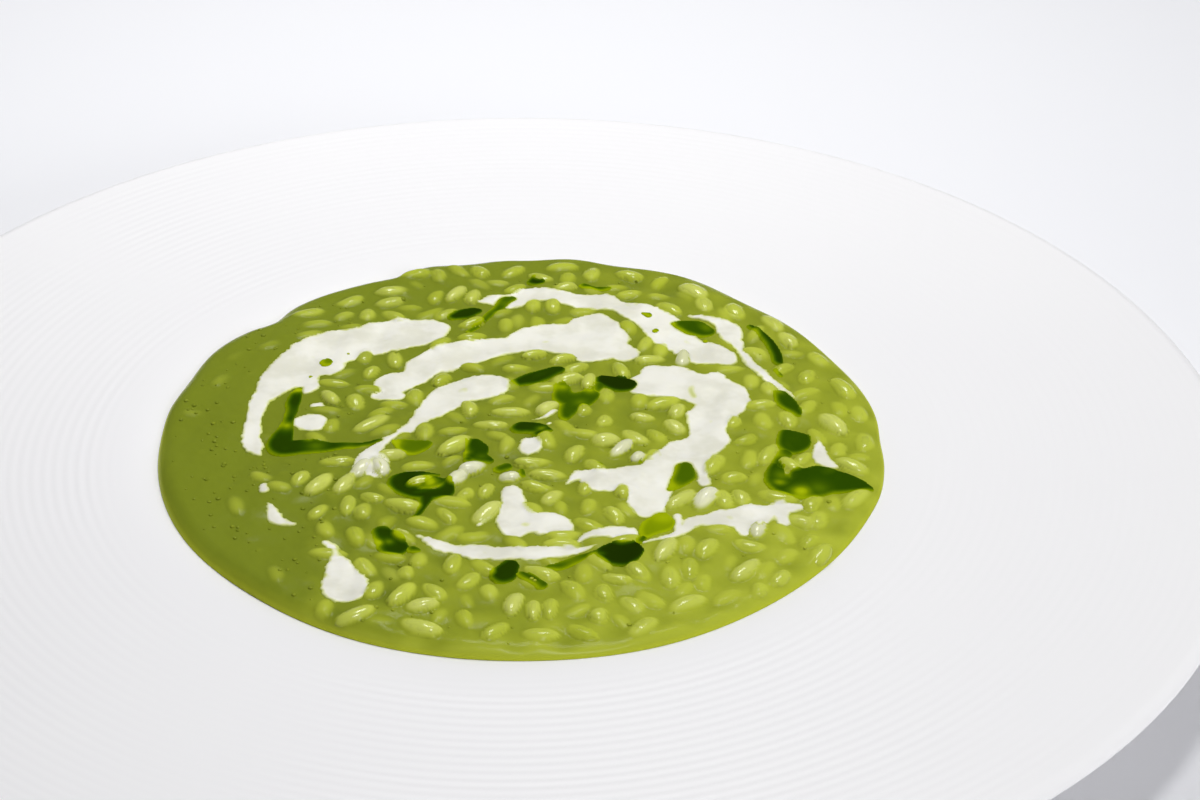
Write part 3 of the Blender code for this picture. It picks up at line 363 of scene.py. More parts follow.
OIL_BITS = [
    [(1.2, -48.2, 1.2), (3.4, -50.4, 1.3), (4.9, -52, 1.4)],
    [(6, -46, 0.8), (8.6, -45.8, 1.2), (11.6, -44.2, 1.5), (14, -43.2, 1.1), (16, -42.2, 0.9)],
    [(16, 63.8, 1.2), (18.5, 62.4, 1.2), (21.4, 61.6, 0.9)], [(-3.2, -12, 1.3), (-1.6, -10.9, 1.4)],
    [(1.4, -12.8, 0.8), (1.6, -14.2, 0.9)], [(-20.4, -40.1, 1.2), (-19.2, -40.6, 0.9)],
    [(56.1, 26.4, 0.7), (57, 24.4, 0.8)], [(25.7, -10.3, 0.8)], [(17.4, -11.2, 0.9)],
    [(56, -6, 1.6), (54.6, -9, 1.5), (53.8, -12, 1.8)], [(18.6, 20.6, 1.5), (17.4, 18.2, 1.2)],
    [(24.6, -38.6, 1.0), (25.4, -37, 1.0)],
]
OIL_ON_CREAM = [
    [(-40, 31.2, 1.6)], [(-35.3, 34.8, 0.5)], [(-43, 25, 0.5)], [(28.8, 49.9, 0.6), (30, 49.4, 0.9)],
    [(31.2, 42.8, 0.9)], [(41.8, 38.4, 0.7)],
]
# Where the sauce stands up into the oil and makes it clear: x, y, radius, and how clear.
OIL_THIN = [
    (-45.3, 19.4, 2.0, 1.0), (-47, 5, 2.0, 0.9), (-41.8, 0.2, 1.8, 0.8), (-17, -16.6, 2.6, 1.0),
    (-9.8, -5.6, 1.3, 0.8), (-26.8, -37.7, 1.5, 1.0), (-24.8, -37.2, 1.3, 0.7), (53.8, -17.8, 1.8, 0.8),
    (57.8, -21.8, 2.8, 1.0), (55.2, -7.6, 1.4, 0.6), (29.6, -29.8, 2.4, 0.8), (10.4, 19.2, 2.2, 0.8),
    (16.2, 18.2, 1.8, 0.9), (13.2, 17.8, 1.6, 0.8), (-24.2, -1.6, 1.5, 0.9), (5.8, 2.4, 1.5, 0.8),
    (32, -18.6, 1.6, 0.9), (35, 45.8, 1.2, 0.8), (56.2, 16.6, 1.3, 0.7), (17, -43, 1.2, 0.6),
    (-40.6, -2.6, 2.6, 0.6), (-33.5, -2.2, 3.0, 0.4), (-46.4, 10, 2.4, 0.35), (11.4, -44.4, 3.0, 0.5),
    (54.4, -15.4, 2.2, 0.6), (61.5, -20.4, 2.6, 0.5), (-6.6, -7.6, 1.6, 0.4), (14.2, 13.2, 1.6, 0.5),
]
OIL_DEPTH = 0.16
OIL_ROUND = 1.7
OIL_STEP = 0.36
OIL_RAGGED = (4.0, 41)      # unevenness of its edge: size and seed
OIL_BIT_DENSITY = 2.0
OIL_DOT_DENSITY = 0.9

# ---- lights, floor and fine bumps
# Name, place, aim, size in metres, power, and whether it lights, is mirrored as a glint, or both.
LIGHTS = [
    ("ceiling", (0.0, 0.1, 1.2), (0.0, 0.0, 0.0), (1.6, 1.6), 1.3, "soft"),
    ("overhead", (0.08, -0.12, 1.3), (0.0, 0.0, 0.0), (0.2, 0.2), 4.3, "both"),
    ("soft_back", (-0.1, 0.6, 0.95), (0.0, 0.0, 0.0), (0.3, 0.3), 2.2, "soft"),
    ("front_right", (0.6, -0.7, 0.9), (0.0, 0.0, 0.0), (0.5, 0.3), 1.45, "soft"),
    ("low_right", (0.82, -0.9, 0.55), (0.0, 0.0, 0.0), (0.5, 0.3), 4.1, "soft"),
    ("back", (-0.02, 0.26, 0.33), (0.0, 0.12, 0.0), (0.3, 0.12), 0.54, "soft"),
    ("window", (0.0, 2.0, 0.7), (0.0, 0.0, 0.1), (1.6, 0.7), 2.2, "soft"),
    ("table_right", (0.42, -0.34, 0.16), (0.22, -0.17, 0.0), (0.2, 0.1), 0.3, "soft"),
    ("small_glint", (-0.06, 0.5, 1.15), (0.0, 0.0, 0.0), (0.07, 0.07), 1.3, "glint"),
    ("wide_glint", (0.05, 0.55, 0.9), (0.0, 0.0, 0.0), (0.4, 0.2), 2.6, "glint"),
]
WORLD_COLOUR = (0.90, 0.94, 1.0, 1.0)
WORLD_STRENGTH = 0.13
FLOOR_COLOUR = (0.87, 0.87, 0.895, 1.0)
FLOOR_REACH = 3.0           # metres from the middle to a side
BUMP_STRENGTH = 0.5
BUMP_DISTANCE = 0.00006     # metres


# ---- small helpers
def ripple(x, y, length, seed, waves=7):
    """Smooth unevenness between about -1 and 1, with features of one size."""
    rng = np.random.default_rng(seed)
    total = np.zeros(np.shape(x))
    for _ in range(waves):
        direction, phase = rng.uniform(0, 2 * math.pi, 2)
        number = 2 * math.pi / (length * rng.uniform(0.7, 1.5))
        total += np.sin(number * (x * math.cos(direction) + y * math.sin(direction)) + phase)
    return total / math.sqrt(waves * 2.0)


def smooth_max(a, b, blend):
    """The larger of two heights, with a fillet between them."""
    mix = np.clip(0.5 + 0.5 * (a - b) / blend, 0.0, 1.0)
    return b + (a - b) * mix + blend * mix * (1.0 - mix)


def add_piece(name, verts, faces, material, replaced=(), values=None):
    """A mesh piece from vertices in millimetres, which rides on the dish."""
    mesh = bpy.data.meshes.new(name)
    mesh.from_pydata((np.asarray(verts) * MM).tolist(), [], faces)
    mesh.materials.append(material)
    mesh.shade_smooth()
    for key, numbers in (values or {}).items():
        attribute = mesh.attributes.new(key, "FLOAT", "POINT")
        attribute.data.foreach_set("value", np.asarray(numbers, np.float32))
    piece = bpy.data.objects.new(name, mesh)
    bpy.context.scene.collection.objects.link(piece)
    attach(piece, "root")
    if replaced:
        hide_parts(*replaced)
    return piece


def all_round(count):
    """Directions round a circle."""
    return np.linspace(0, 2 * math.pi, count, endpoint=False)


def circle(radii, angles, height, x=0.0, y=0.0):
    """Vertices round a level circle, or round an outline with a radius for each direction."""
    level = np.full(len(angles), height)
    return np.column_stack([x + radii * np.cos(angles), y + radii * np.sin(angles), level]).tolist()


def ring_faces(inner, inner_count, outer, outer_count):
    """Faces between two closed rings of vertices, the outer with as many or twice as many."""
    faces = []
    for k in range(inner_count):
        after = (k + 1) % inner_count
        if inner_count == outer_count:
            faces.append((inner + k, outer + k, outer + after, inner + after))
        else:
            a, b, c = outer + 2 * k, outer + 2 * k + 1, outer + (2 * k + 2) % outer_count
            faces += [(inner + k, a, b), (inner + k, b, inner + after), (inner + after, b, c)]
    return faces


# ---- shapes shared with the CAD
def smoothed(values, reach):
    """Values averaged twice with their neighbours."""
    count = 2 * reach + 1
    for _ in range(2):
        values = np.convolve(np.pad(values, reach, mode="edge"), np.ones(count) / count, mode="valid")
    return values


def smooth_plate():
    """The plate's top with its corners rounded off: radii and heights."""
    radii = np.arange(0.0, 152.0, PROFILE_STEP)
    heights = np.interp(radii, [spot[0] for spot in PLATE_TOP], [spot[1] for spot in PLATE_TOP])
    return radii, smoothed(heights, 6)


PLATE_CURVE = smooth_plate()


def plate_height(radius):
    return np.interp(radius, *PLATE_CURVE)


def pool_outline(angle):
    """Radius of the pool's uneven edge in a direction."""
    radius = POOL_RADIUS + POOL_SHIFT[0] * np.cos(angle) + POOL_SHIFT[1] * np.sin(angle)
    for degrees, swell, width in POOL_LOBES:
        away = (np.degrees(angle) - degrees + 180.0) % 360.0 - 180.0
        radius = radius + swell * np.exp(-(away / width) ** 2)
    return radius


def pool_height(x, y):
    """Height of the bare sauce above the table."""
    radius = np.hypot(x, y)
    outline = pool_outline(np.arctan2(y, x))
    edge_base = plate_height(outline) - 0.05
    level = POOL_LEVEL + POOL_CROWN * (1.0 - (radius / outline) ** 2)
    for length, degrees, phase, height in SWELLS:
        direction = math.radians(degrees)
        along = x * math.cos(direction) + y * math.sin(direction)
        level = level + height * np.sin(2.0 * math.pi * along / length + phase)
    outward = np.clip((radius - outline + EDGE_WIDTH) / EDGE_WIDTH, 0.0, 1.0)
    return edge_base + (level - edge_base) * (1.0 - outward ** 2) ** EDGE_ROUNDNESS


def sauce_level(x, y):
    """Height of the sauce between the grains: the pool with dips and swells in it, hardly any at the left."""
    inward = pool_outline(np.arctan2(y, x)) - np.hypot(x, y)
    fade = np.clip((inward - 0.6) / 6.0, 0.0, 1.0) * (0.15 + 0.85 * np.clip((x + 60.0) / 25.0, 0.0, 1.0))
    return pool_height(x, y) + fade * (DIP_HEIGHT * ripple(x, y, DIP_SIZE, DIP_SEED) - DIP_DEPTH)


def smooth_stroke(points, steps=4):
    """A stroke's points joined by a Catmull-Rom curve."""
    p = np.array(points, float)
    if len(p) < 3:
        return p
    p = np.vstack([2 * p[0] - p[1], p, 2 * p[-1] - p[-2]])
    curve = []
    for a, b, c, d in zip(p, p[1:], p[2:], p[3:]):
        for t in np.arange(steps) / steps:
            curve.append(0.5 * (2 * b + (c - a) * t + (2 * a - 5 * b + 4 * c - d) * t ** 2
                                + (3 * b - a - 3 * c + d) * t ** 3))
    return np.array(curve + [p[-2]])


def depth_inside(x, y, curves):
    """Distance in from the edge of a topping's strokes; negative outside them."""
    best = np.full(np.shape(x), -1000.0)
    for curve in curves:
        ends = zip(curve, curve[1:]) if len(curve) > 1 else [(curve[0], curve[0])]
        for (x0, y0, w0), (x1, y1, w1) in ends:
            length = (x1 - x0) ** 2 + (y1 - y0) ** 2 + 1e-9
            t = np.clip(((x - x0) * (x1 - x0) + (y - y0) * (y1 - y0)) / length, 0.0, 1.0)
            away = np.hypot(x - x0 - t * (x1 - x0), y - y0 - t * (y1 - y0))
            best = np.maximum(best, w0 + t * (w1 - w0) - away)
    return best


# ---- grains
def make_grain(x, y, turn, length, width, top, tone, rng):
    """One grain's place and form. Its base is the height of its middle."""
    return dict(x=x, y=y, turn=turn, length=length, width=width, thick=GRAIN_THICKNESS * width, top=top,
                tone=tone, film=rng.uniform(*(FILM_PROUD if top > PROUD_FROM else FILM_SUNK)),
                bend=rng.uniform(-GRAIN_BEND, GRAIN_BEND), blunt=rng.uniform(-GRAIN_BLUNT, GRAIN_BLUNT),
                tilt=rng.uniform(-GRAIN_TILT, GRAIN_TILT), seed=int(rng.integers(1 << 30)),
                base=float(pool_height(x, y)) + top - GRAIN_THICKNESS / 2 * width)


def grain_spots(x, y, turn, length):
    """Three places along a grain."""
    reach = (length / 2 - 1.4) * np.array([math.cos(turn), math.sin(turn)])
    return np.array([[x, y] - reach, [x, y], [x, y] + reach])


def room_for_grains(x, y, layer):
    """How full of grains a layer of the sauce is: the left part is nearly clear at the top."""
    if math.hypot(x, y) > pool_outline(math.atan2(y, x)) - GRAIN_MARGIN:
        return 0.0
    if x + 0.1 * y < CLEAR_LEFT:
        return CLEAR_SHARE[layer]
    return 1.0


def scatter_grains(cream_curves, oil_curves):
    """The grains that stand out, and seeded ones between them and under them."""
    rng = np.random.default_rng(GRAIN_SEED)
    grains, taken = [], []
    mean, spread, least, most = GRAIN_LENGTH
    for glazed, places in ((False, GRAINS_SEEN), (True, GRAINS_GLAZED)):
        for x, y, degrees, length, width, top in places:
            turn = math.radians(degrees)
            tone = 1.0 if glazed else 0.25 + 0.4 * min(max(top, 0.0), 1.2) + rng.uniform(-0.22, 0.22)
            grains.append(make_grain(x, y, turn, length, width, top, tone, rng))
            taken.append(grain_spots(x, y, turn, length))
    for number, (count, spacing, low, high, under) in enumerate(GRAIN_FILL):
        before = len(grains)
        for _ in range(count * 80):
            if len(grains) - before == count:
                break
            x, y = rng.uniform(-POOL_RADIUS - 3, POOL_RADIUS + 3, 2)
            turn = rng.uniform(0, math.pi)
            if rng.random() > room_for_grains(x, y, number):
                continue
            length = float(np.clip(rng.normal(mean, spread), least, most))
            spots = grain_spots(x, y, turn, length)
            gaps = np.linalg.norm(np.vstack(taken)[None] - spots[:, None], axis=2)
            if gaps.min() < spacing:
                continue
            if depth_inside(spots[:, 0], spots[:, 1], cream_curves).max() > under:
                continue
            if number < 3 and depth_inside(spots[:, 0], spots[:, 1], oil_curves).max() > 0.3:
                continue
            width = float(np.clip(rng.normal(0.3 * length + 1.5, 0.25), 3.0, 4.8))
            top, tone = rng.uniform(low, high), rng.uniform(*FILL_TONE)
            grains.append(make_grain(x, y, turn, length, width, top, tone, rng))
            taken.append(spots)
    return grains


def grain_half_width(t, grain):
    """Half the width of a grain along its length, from -1 to 1."""
    t = np.clip(t, -1.0, 1.0)
    return grain["width"] / 2 * (1.0 - np.abs(t) ** 2.3) ** 0.56 * (1.0 + grain["blunt"] * t)


def grain_tops(x, y, grain):
    """Height of a grain's upper surface over places, or nan where it doesn't reach."""
    c, s = math.cos(grain["turn"]), math.sin(grain["turn"])
    along = (x - grain["x"]) * c + (y - grain["y"]) * s
    t = along / (grain["length"] / 2)
    across = -(x - grain["x"]) * s + (y - grain["y"]) * c - grain["bend"] * (1 - t ** 2)
    half = grain_half_width(t, grain)
    inside = 1.0 - (across / np.maximum(half, 1e-3)) ** 2
    rise = np.sqrt(np.maximum(inside, 0.0)) * half * grain["thick"] / grain["width"]
    rise = np.where((inside > 0) & (np.abs(t) < 1), rise, np.nan)
    return rise + grain["base"] + along * math.sin(grain["tilt"])


def sauce_surface(x, y, grains):
    """The sauce with grains in it: its height, how far it rises over its own level, how much of a grain shows
    there, and that grain's tone."""
    bare = sauce_level(x, y)
    inward = pool_outline(np.arctan2(y, x)) - np.hypot(x, y)
    keep = np.clip((inward - 0.6) / 1.6, 0.0, 1.0)
    height = bare
    for fine, size, seed in SAUCE_RIPPLES:
        height = height + fine * ripple(x, y, size, seed)
    highest = np.full(np.shape(x), -99.0)
    tone = np.full(np.shape(x), 0.3)
    peak = np.full(np.shape(x), 1.0)
    low_x, high_x, low_y, high_y = x.min(), x.max(), y.min(), y.max()
    for g in grains:
        reach = g["length"] * 0.62
        if not (low_x - reach < g["x"] < high_x + reach and low_y - reach < g["y"] < high_y + reach):
            continue
        near = np.flatnonzero((np.abs(x - g["x"]) < reach) & (np.abs(y - g["y"]) < reach))
        tops = grain_tops(x[near], y[near], g)
        here = np.isfinite(tops)
        near, tops = near[here], tops[here]
        higher = tops > highest[near]
        highest[near[higher]] = tops[higher]
        tone[near[higher]] = g["tone"]
        peak[near[higher]] = g["top"]
        height[near] = smooth_max(height[near], tops - g["film"], FILLET)
    rise = (height - bare) * keep
    height = bare + rise
    shows = grain_shows(height - highest, rise, peak) * keep
    return height, rise, shows, tone


def sauce_height(x, y, grains):
    return sauce_surface(x, y, grains)[0]


def grain_shows(cover, rise, peak):
    """How much a grain's own colour shows: by the depth of sauce over it, and by how near it is to the crown
    of a grain that stands up. The foot of a grain keeps the sauce's colour."""
    crown = np.clip(rise / np.maximum(peak, 0.3) * 1.25 - 0.25, 0.0, 1.0)
    strength = np.clip(0.35 + 0.6 * peak, 0.35, 1.0)
    return np.exp(-np.maximum(cover, 0.0) / 0.5) * strength * crown * (2.0 - crown)


def make_rice(grains, material):
    """The grains that reach the surface, as one piece."""
    verts, faces, tones, peaks = [], [], [], []
    steps = -np.cos(np.linspace(0, math.pi, GRAIN_SECTIONS + 2))[1:-1]
    around = all_round(GRAIN_SIDES)
    for g in grains:
        if g["top"] < GRAIN_SHOWN or g["film"] < 0.0:
            continue
        start = len(verts)
        rng = np.random.default_rng(g["seed"])
        half = grain_half_width(steps, g) * (1 + rng.normal(0, 0.015, len(steps)))
        along = np.repeat(steps * g["length"] / 2, GRAIN_SIDES)
        across = np.outer(half, np.cos(around)).ravel() + np.repeat(g["bend"] * (1 - steps ** 2), GRAIN_SIDES)
        up = np.outer(half, np.sin(around)).ravel() * g["thick"] / g["width"]
        ends = np.array([[-g["length"] / 2, 0, 0], [g["length"] / 2, 0, 0]])
        local = np.vstack([ends[:1], np.column_stack([along, across, up]), ends[1:]])
        local[:, 2] += local[:, 0] * math.sin(g["tilt"])
        c, s = math.cos(g["turn"]), math.sin(g["turn"])
        world = np.column_stack([g["x"] + c * local[:, 0] - s * local[:, 1],
                                 g["y"] + s * local[:, 0] + c * local[:, 1], g["base"] + local[:, 2]])
        verts += world.tolist()
        tones += [g["tone"]] * len(world)
        peaks += [g["top"]] * len(world)
        for k in range(GRAIN_SIDES):
            after = (k + 1) % GRAIN_SIDES
            faces.append((start, start + 1 + after, start + 1 + k))
            for ring in range(len(steps) - 1):
                a = start + 1 + ring * GRAIN_SIDES
                b = a + GRAIN_SIDES
                faces.append((a + k, a + after, b + after, b + k))
            last = start + len(world) - 1 - GRAIN_SIDES
            faces.append((start + len(world) - 1, last + k, last + after))
    verts = np.array(verts)
    rise = verts[:, 2] - sauce_level(verts[:, 0], verts[:, 1])
    # the grains carry the sauce's painted light and shade too
    return add_piece("rice_grains", verts, faces, material, values={
        "tone": tones, "grain": grain_shows(np.zeros(len(verts)), rise, np.array(peaks)),
        "tone_and_painted_light": sauce_tone_and_painted_light(verts[:, 0], verts[:, 1], rise)})


def make_bubbles(toppings, grains, material):
    """Tiny bubbles on the sauce as low domes, most of them at the left where few grains are."""
    rng = np.random.default_rng(BUBBLE_SEED)
    verts, faces, tones = [], [], []
    size = BUBBLE_SIDES * len(BUBBLE_RINGS) + 2
    around = all_round(BUBBLE_SIDES)
    while len(verts) < BUBBLE_COUNT * size:
        x, y = rng.uniform(-POOL_RADIUS, POOL_RADIUS, 2)
        outline = pool_outline(math.atan2(y, x))
        if math.hypot(x, y) > outline - 3.0 or rng.random() > 0.3 + 0.7 * (x < BUBBLE_LEFT):
            continue
        spot_x, spot_y = np.array([x]), np.array([y])
        ground, rise = (values[0] for values in sauce_surface(spot_x, spot_y, grains)[:2])
        if depth_inside(spot_x, spot_y, toppings)[0] > -1.0 or rise > 0.35:
            continue
        radius = rng.uniform(*BUBBLE_RADIUS)
        start = len(verts)
        for height in BUBBLE_RINGS:
            across = radius * math.sqrt(1.0 - height ** 2)
            verts += circle(across, around, ground + BUBBLE_HEIGHT * radius * height, x, y)
        verts += [[x, y, ground + BUBBLE_HEIGHT * radius], [x, y, ground - 0.1]]
        # the bubbles take the sauce's painted light and shade, paler by a random amount
        tones += [float(sauce_tone_and_painted_light(spot_x, spot_y, 0.0)[0]) + rng.uniform(0.0, 0.25)] * size
        for k in range(BUBBLE_SIDES):
            after = (k + 1) % BUBBLE_SIDES
            for number in range(len(BUBBLE_RINGS) - 1):
                a = start + number * BUBBLE_SIDES
                b = a + BUBBLE_SIDES
                faces.append((a + k, a + after, b + after, b + k))
            top = start + (len(BUBBLE_RINGS) - 1) * BUBBLE_SIDES
            faces.append((top + k, top + after, top + BUBBLE_SIDES))
            faces.append((start + after, start + k, top + BUBBLE_SIDES + 1))
    zeros = np.zeros(len(verts))
    return add_piece("sauce_bubbles", verts, faces, material, values={
        "grain": zeros, "inward": zeros + 9.0, "tone": zeros, "tone_and_painted_light": np.clip(tones, 0.0, 1.0)})


# ---- plate
def plate_profile():
    """Top, edge and under side of the plate as radius and height, with the rim's fine rings."""
    radii = np.concatenate([np.arange(4.0, 66.0, 3.0), np.arange(66.0, RING_FROM, 0.7),
                            np.arange(RING_FROM, RING_TO, RING_PITCH / 8), np.arange(RING_TO, 148.0, 0.4)])
    fine = np.arange(0, 152, PROFILE_STEP)
    heights = np.interp(radii, fine, smoothed(plate_height(fine), 8))
    rng = np.random.default_rng(RING_SEED)
    crests = np.arange(RING_FROM, RING_TO + 4, RING_PITCH)
    strength = np.interp(radii, crests, rng.uniform(0.5, 1.2, len(crests)))
    fade = np.clip((radii - RING_FROM) / 8, 0, 1) * np.clip((RING_TO - radii) / 2, 0, 1)
    waves = 0.5 - 0.5 * np.cos(2 * math.pi * (radii - RING_FROM) / RING_PITCH)
    heights -= RING_DEPTH * strength * fade * waves
    return np.vstack([np.column_stack([radii, heights]), PLATE_EDGE, PLATE_UNDER])


def make_plate(material):
    """The plate, turned from its profile."""
    profile = plate_profile()
    angles = all_round(PLATE_SEGMENTS)
    verts = [[0.0, 0.0, WELL_FLOOR]]
    for radius, height in profile:
        verts += circle(radius, angles, height)
    verts.append([0.0, 0.0, FOOT_RECESS])
    faces = close_axis(1, PLATE_SEGMENTS, 0, True)
    for ring in range(len(profile) - 1):
        start = 1 + ring * PLATE_SEGMENTS
        faces += ring_faces(start, PLATE_SEGMENTS, start + PLATE_SEGMENTS, PLATE_SEGMENTS)
    faces += close_axis(1 + (len(profile) - 1) * PLATE_SEGMENTS, PLATE_SEGMENTS, len(verts) - 1, False)
    return add_piece("plate_porcelain", verts, faces, material, ["plate"])


def close_axis(ring, count, centre, upward):
    """A fan of faces from a ring to its middle vertex."""
    fan = [(centre, ring + k, ring + (k + 1) % count) for k in range(count)]
    return fan if upward else [face[::-1] for face in fan]


# ---- sauce
def make_sauce(grains, material):
    """The pool: rings of vertices that double in number outward, and a plain bottom in the well."""
    counts = [(POOL_RADIUS / 8, POOL_SEGMENTS // 8), (POOL_RADIUS / 4, POOL_SEGMENTS // 4),
              (POOL_RADIUS / 2, POOL_SEGMENTS // 2), (1e9, POOL_SEGMENTS)]
    distances = np.concatenate([np.arange(POOL_STEP, POOL_RADIUS - 3.0, POOL_STEP),
                                POOL_RADIUS - np.array(POOL_EDGE_STEPS)])
    spots, rings = [[0.0, 0.0]], []
    for distance in distances:
        count = next(n for limit, n in counts if distance < limit)
        angles = all_round(count)
        radii = pool_outline(angles) * distance / POOL_RADIUS
        rings.append((len(spots), count))
        spots += np.column_stack([radii * np.cos(angles), radii * np.sin(angles)]).tolist()
    spots = np.array(spots)
    heights, rise, shows, tone = sauce_surface(spots[:, 0], spots[:, 1], grains)
    inward = pool_outline(np.arctan2(spots[:, 1], spots[:, 0])) - np.hypot(spots[:, 0], spots[:, 1])
    verts = np.column_stack([spots, heights]).tolist()
    faces = close_axis(1, rings[0][1], 0, True)
    for (a, count_a), (b, count_b) in zip(rings, rings[1:]):
        faces += ring_faces(a, count_a, b, count_b)
    previous = rings[-1]
    for radius, count in POOL_UNDER:
        start = len(verts)
        verts += circle(radius, all_round(count), plate_height(radius) + UNDER_GAP)
        faces += [face[::-1] for face in ring_faces(start, count, *previous)]
        previous = (start, count)
    verts.append([0.0, 0.0, WELL_FLOOR + UNDER_GAP])
    faces += close_axis(*previous, len(verts) - 1, False)
    hidden = len(verts) - len(spots)
    return add_piece("risotto_sauce", verts, faces, material, ["risotto"], {
        "grain": np.append(shows, np.zeros(hidden)), "inward": np.append(inward, np.full(hidden, 9.0)),
        "tone": np.append(tone, np.zeros(hidden)),
        "tone_and_painted_light": np.append(sauce_tone_and_painted_light(spots[:, 0], spots[:, 1], rise), np.zeros(hidden))})


def sauce_tone_and_painted_light(x, y, rise):
    """How pale the sauce is: darker at the left, where it holds few grains, and paler over grains, where it
    is thin. On top of that, painted light and shade: paler towards the viewer and darker towards the far
    side, darker in its hollows, and paler at its left edge, partly because it is thin over the porcelain
    there and partly as painted light against the shade of its rounded edge."""
    # painted light and shade: paler towards the viewer, darker towards the far side
    near = -np.minimum(y, 0.0) / 170.0 * np.clip(1.0 + x / 90.0, 0.3, 1.0) - np.maximum(y, 0.0) / 320.0
    shallow = np.clip(rise / 0.55, 0.0, 1.0)
    # painted shade: darker in the dips between the grains
    painted_hollow_shade = np.clip((x + 60.0) / 25.0, 0.2, 1.0) * ripple(x, y, DIP_SIZE, DIP_SEED)
    inward = np.maximum(pool_outline(np.arctan2(y, x)) - np.hypot(x, y), 0.0)
    # partly painted light: paler along the left edge, for the thin sauce over the porcelain and against the
    # shade of its rounded edge
    left = np.clip(0.45 - (x + y) / 120.0, 0.0, 1.0)
    return np.clip(0.36 + x / 150.0 + near + 0.7 * (shallow - 0.3)
                   + 0.10 * ripple(x, y, SHADE_SIZE, SHADE_SEED) + 0.18 * painted_hollow_shade
                   + 0.6 * left * np.exp(-(inward / 1.8) ** 2), 0.0, 1.0)


# ---- cream and oil
def cut_sheet(depth, box, step):
    """A flat mesh of the places where depth is above zero: grid squares, cut at the edge.
    Returns its points, its faces, and which points lie on the edge."""
    left, right, low, high = box
    xs, ys = np.arange(left, right + step, step), np.arange(low, high + step, step)
    grid_x, grid_y = np.meshgrid(xs, ys, indexing="ij")
    values = depth(grid_x.ravel(), grid_y.ravel()).reshape(grid_x.shape)
    values[np.abs(values) < 0.1 * step] = -0.1 * step
    points, lookup, edge = [], {}, []

    def node(i, j):
        if (i, j) not in lookup:
            lookup[i, j] = len(points)
            points.append((xs[i], ys[j]))
            edge.append(False)
        return lookup[i, j]

    def crossing(a, b):
        key = (a, b) if a < b else (b, a)
        if key not in lookup:
            va, vb = values[key[0]], values[key[1]]
            t = va / (va - vb)
            lookup[key] = len(points)
            points.append((xs[key[0][0]] + t * (xs[key[1][0]] - xs[key[0][0]]),
                           ys[key[0][1]] + t * (ys[key[1][1]] - ys[key[0][1]])))
            edge.append(True)
        return lookup[key]

    faces = []
    full = values > 0
    touched = full[:-1, :-1] | full[1:, :-1] | full[1:, 1:] | full[:-1, 1:]
    for i, j in np.argwhere(touched):
        corners = [(i, j), (i + 1, j), (i + 1, j + 1), (i, j + 1)]
        face = []
        for a, b in zip(corners, corners[1:] + corners[:1]):
            if full[a]:
                face.append(node(*a))
            if full[a] != full[b]:
                face.append(crossing(a, b))
        faces.append(face)
    return np.array(points), faces, np.array(edge)


def box_round(curves, reach):
    """The box round some curves, larger by reach on every side."""
    every = np.vstack(curves)
    low, high = every.min(axis=0) - reach, every.max(axis=0) + reach
    return low[0], high[0], low[1], high[1]


def lens(inward, height, width):
    """Height of a rounded edge at a distance in from it."""
    t = np.clip(inward / width, 0.0, 1.0)
    return height * np.sqrt(1.0 - (1.0 - t) ** 2)


def drape(points, edge, faces, ground, thickness, sink=0.12):
    """A closed body: the sheet raised over the ground, and its under side sunk in it, joined at the edge."""
    top = ground + np.where(edge, -sink, thickness)
    inner = np.flatnonzero(~edge)
    below = np.arange(len(points))
    below[inner] = len(points) + np.arange(len(inner))
    under = np.column_stack([points[inner], ground[inner] - 2 * sink])
    verts = np.vstack([np.column_stack([points, top]), under])
    return verts, faces + [[int(below[k]) for k in face[::-1]] for face in faces], inner


def make_cream(name, curves, grains, oil_curves, material, replaced):
    """One pool of cream, almost level with the sauce. It thins out over the grains and round the oil."""
    def depth(x, y):
        ragged = sum(far * ripple(x, y, size, seed) for far, size, seed in CREAM_RAGGED)
        inside = depth_inside(x, y, curves) + ragged
        rise = sauce_surface(x, y, grains)[1]
        return np.minimum(inside - 0.6 * np.clip(rise, 0.0, 1.0), 0.35 - depth_inside(x, y, oil_curves))

    points, faces, edge = cut_sheet(depth, box_round(curves, 8.5), CREAM_STEP)
    x, y = points[:, 0], points[:, 1]
    inward = np.maximum(depth(x, y), 0.0)
    ground = sauce_height(x, y, grains)
    level = sauce_level(x, y) + lens(inward, CREAM_DEPTH, CREAM_ROUND) + 0.12 * ripple(x, y, *CREAM_RELIEF)
    film = lens(inward, CREAM_FILM, CREAM_ROUND) * (0.8 + 0.5 * ripple(x, y, *CREAM_PATCHES))
    thickness = smooth_max(level, ground + film, 0.15) - ground
    verts, faces, inner = drape(points, edge, faces, ground, thickness)
    return add_piece(name, verts, faces, material, replaced, {
        "thickness": np.append(thickness, thickness[inner]), "inward": np.append(inward, inward[inner])})


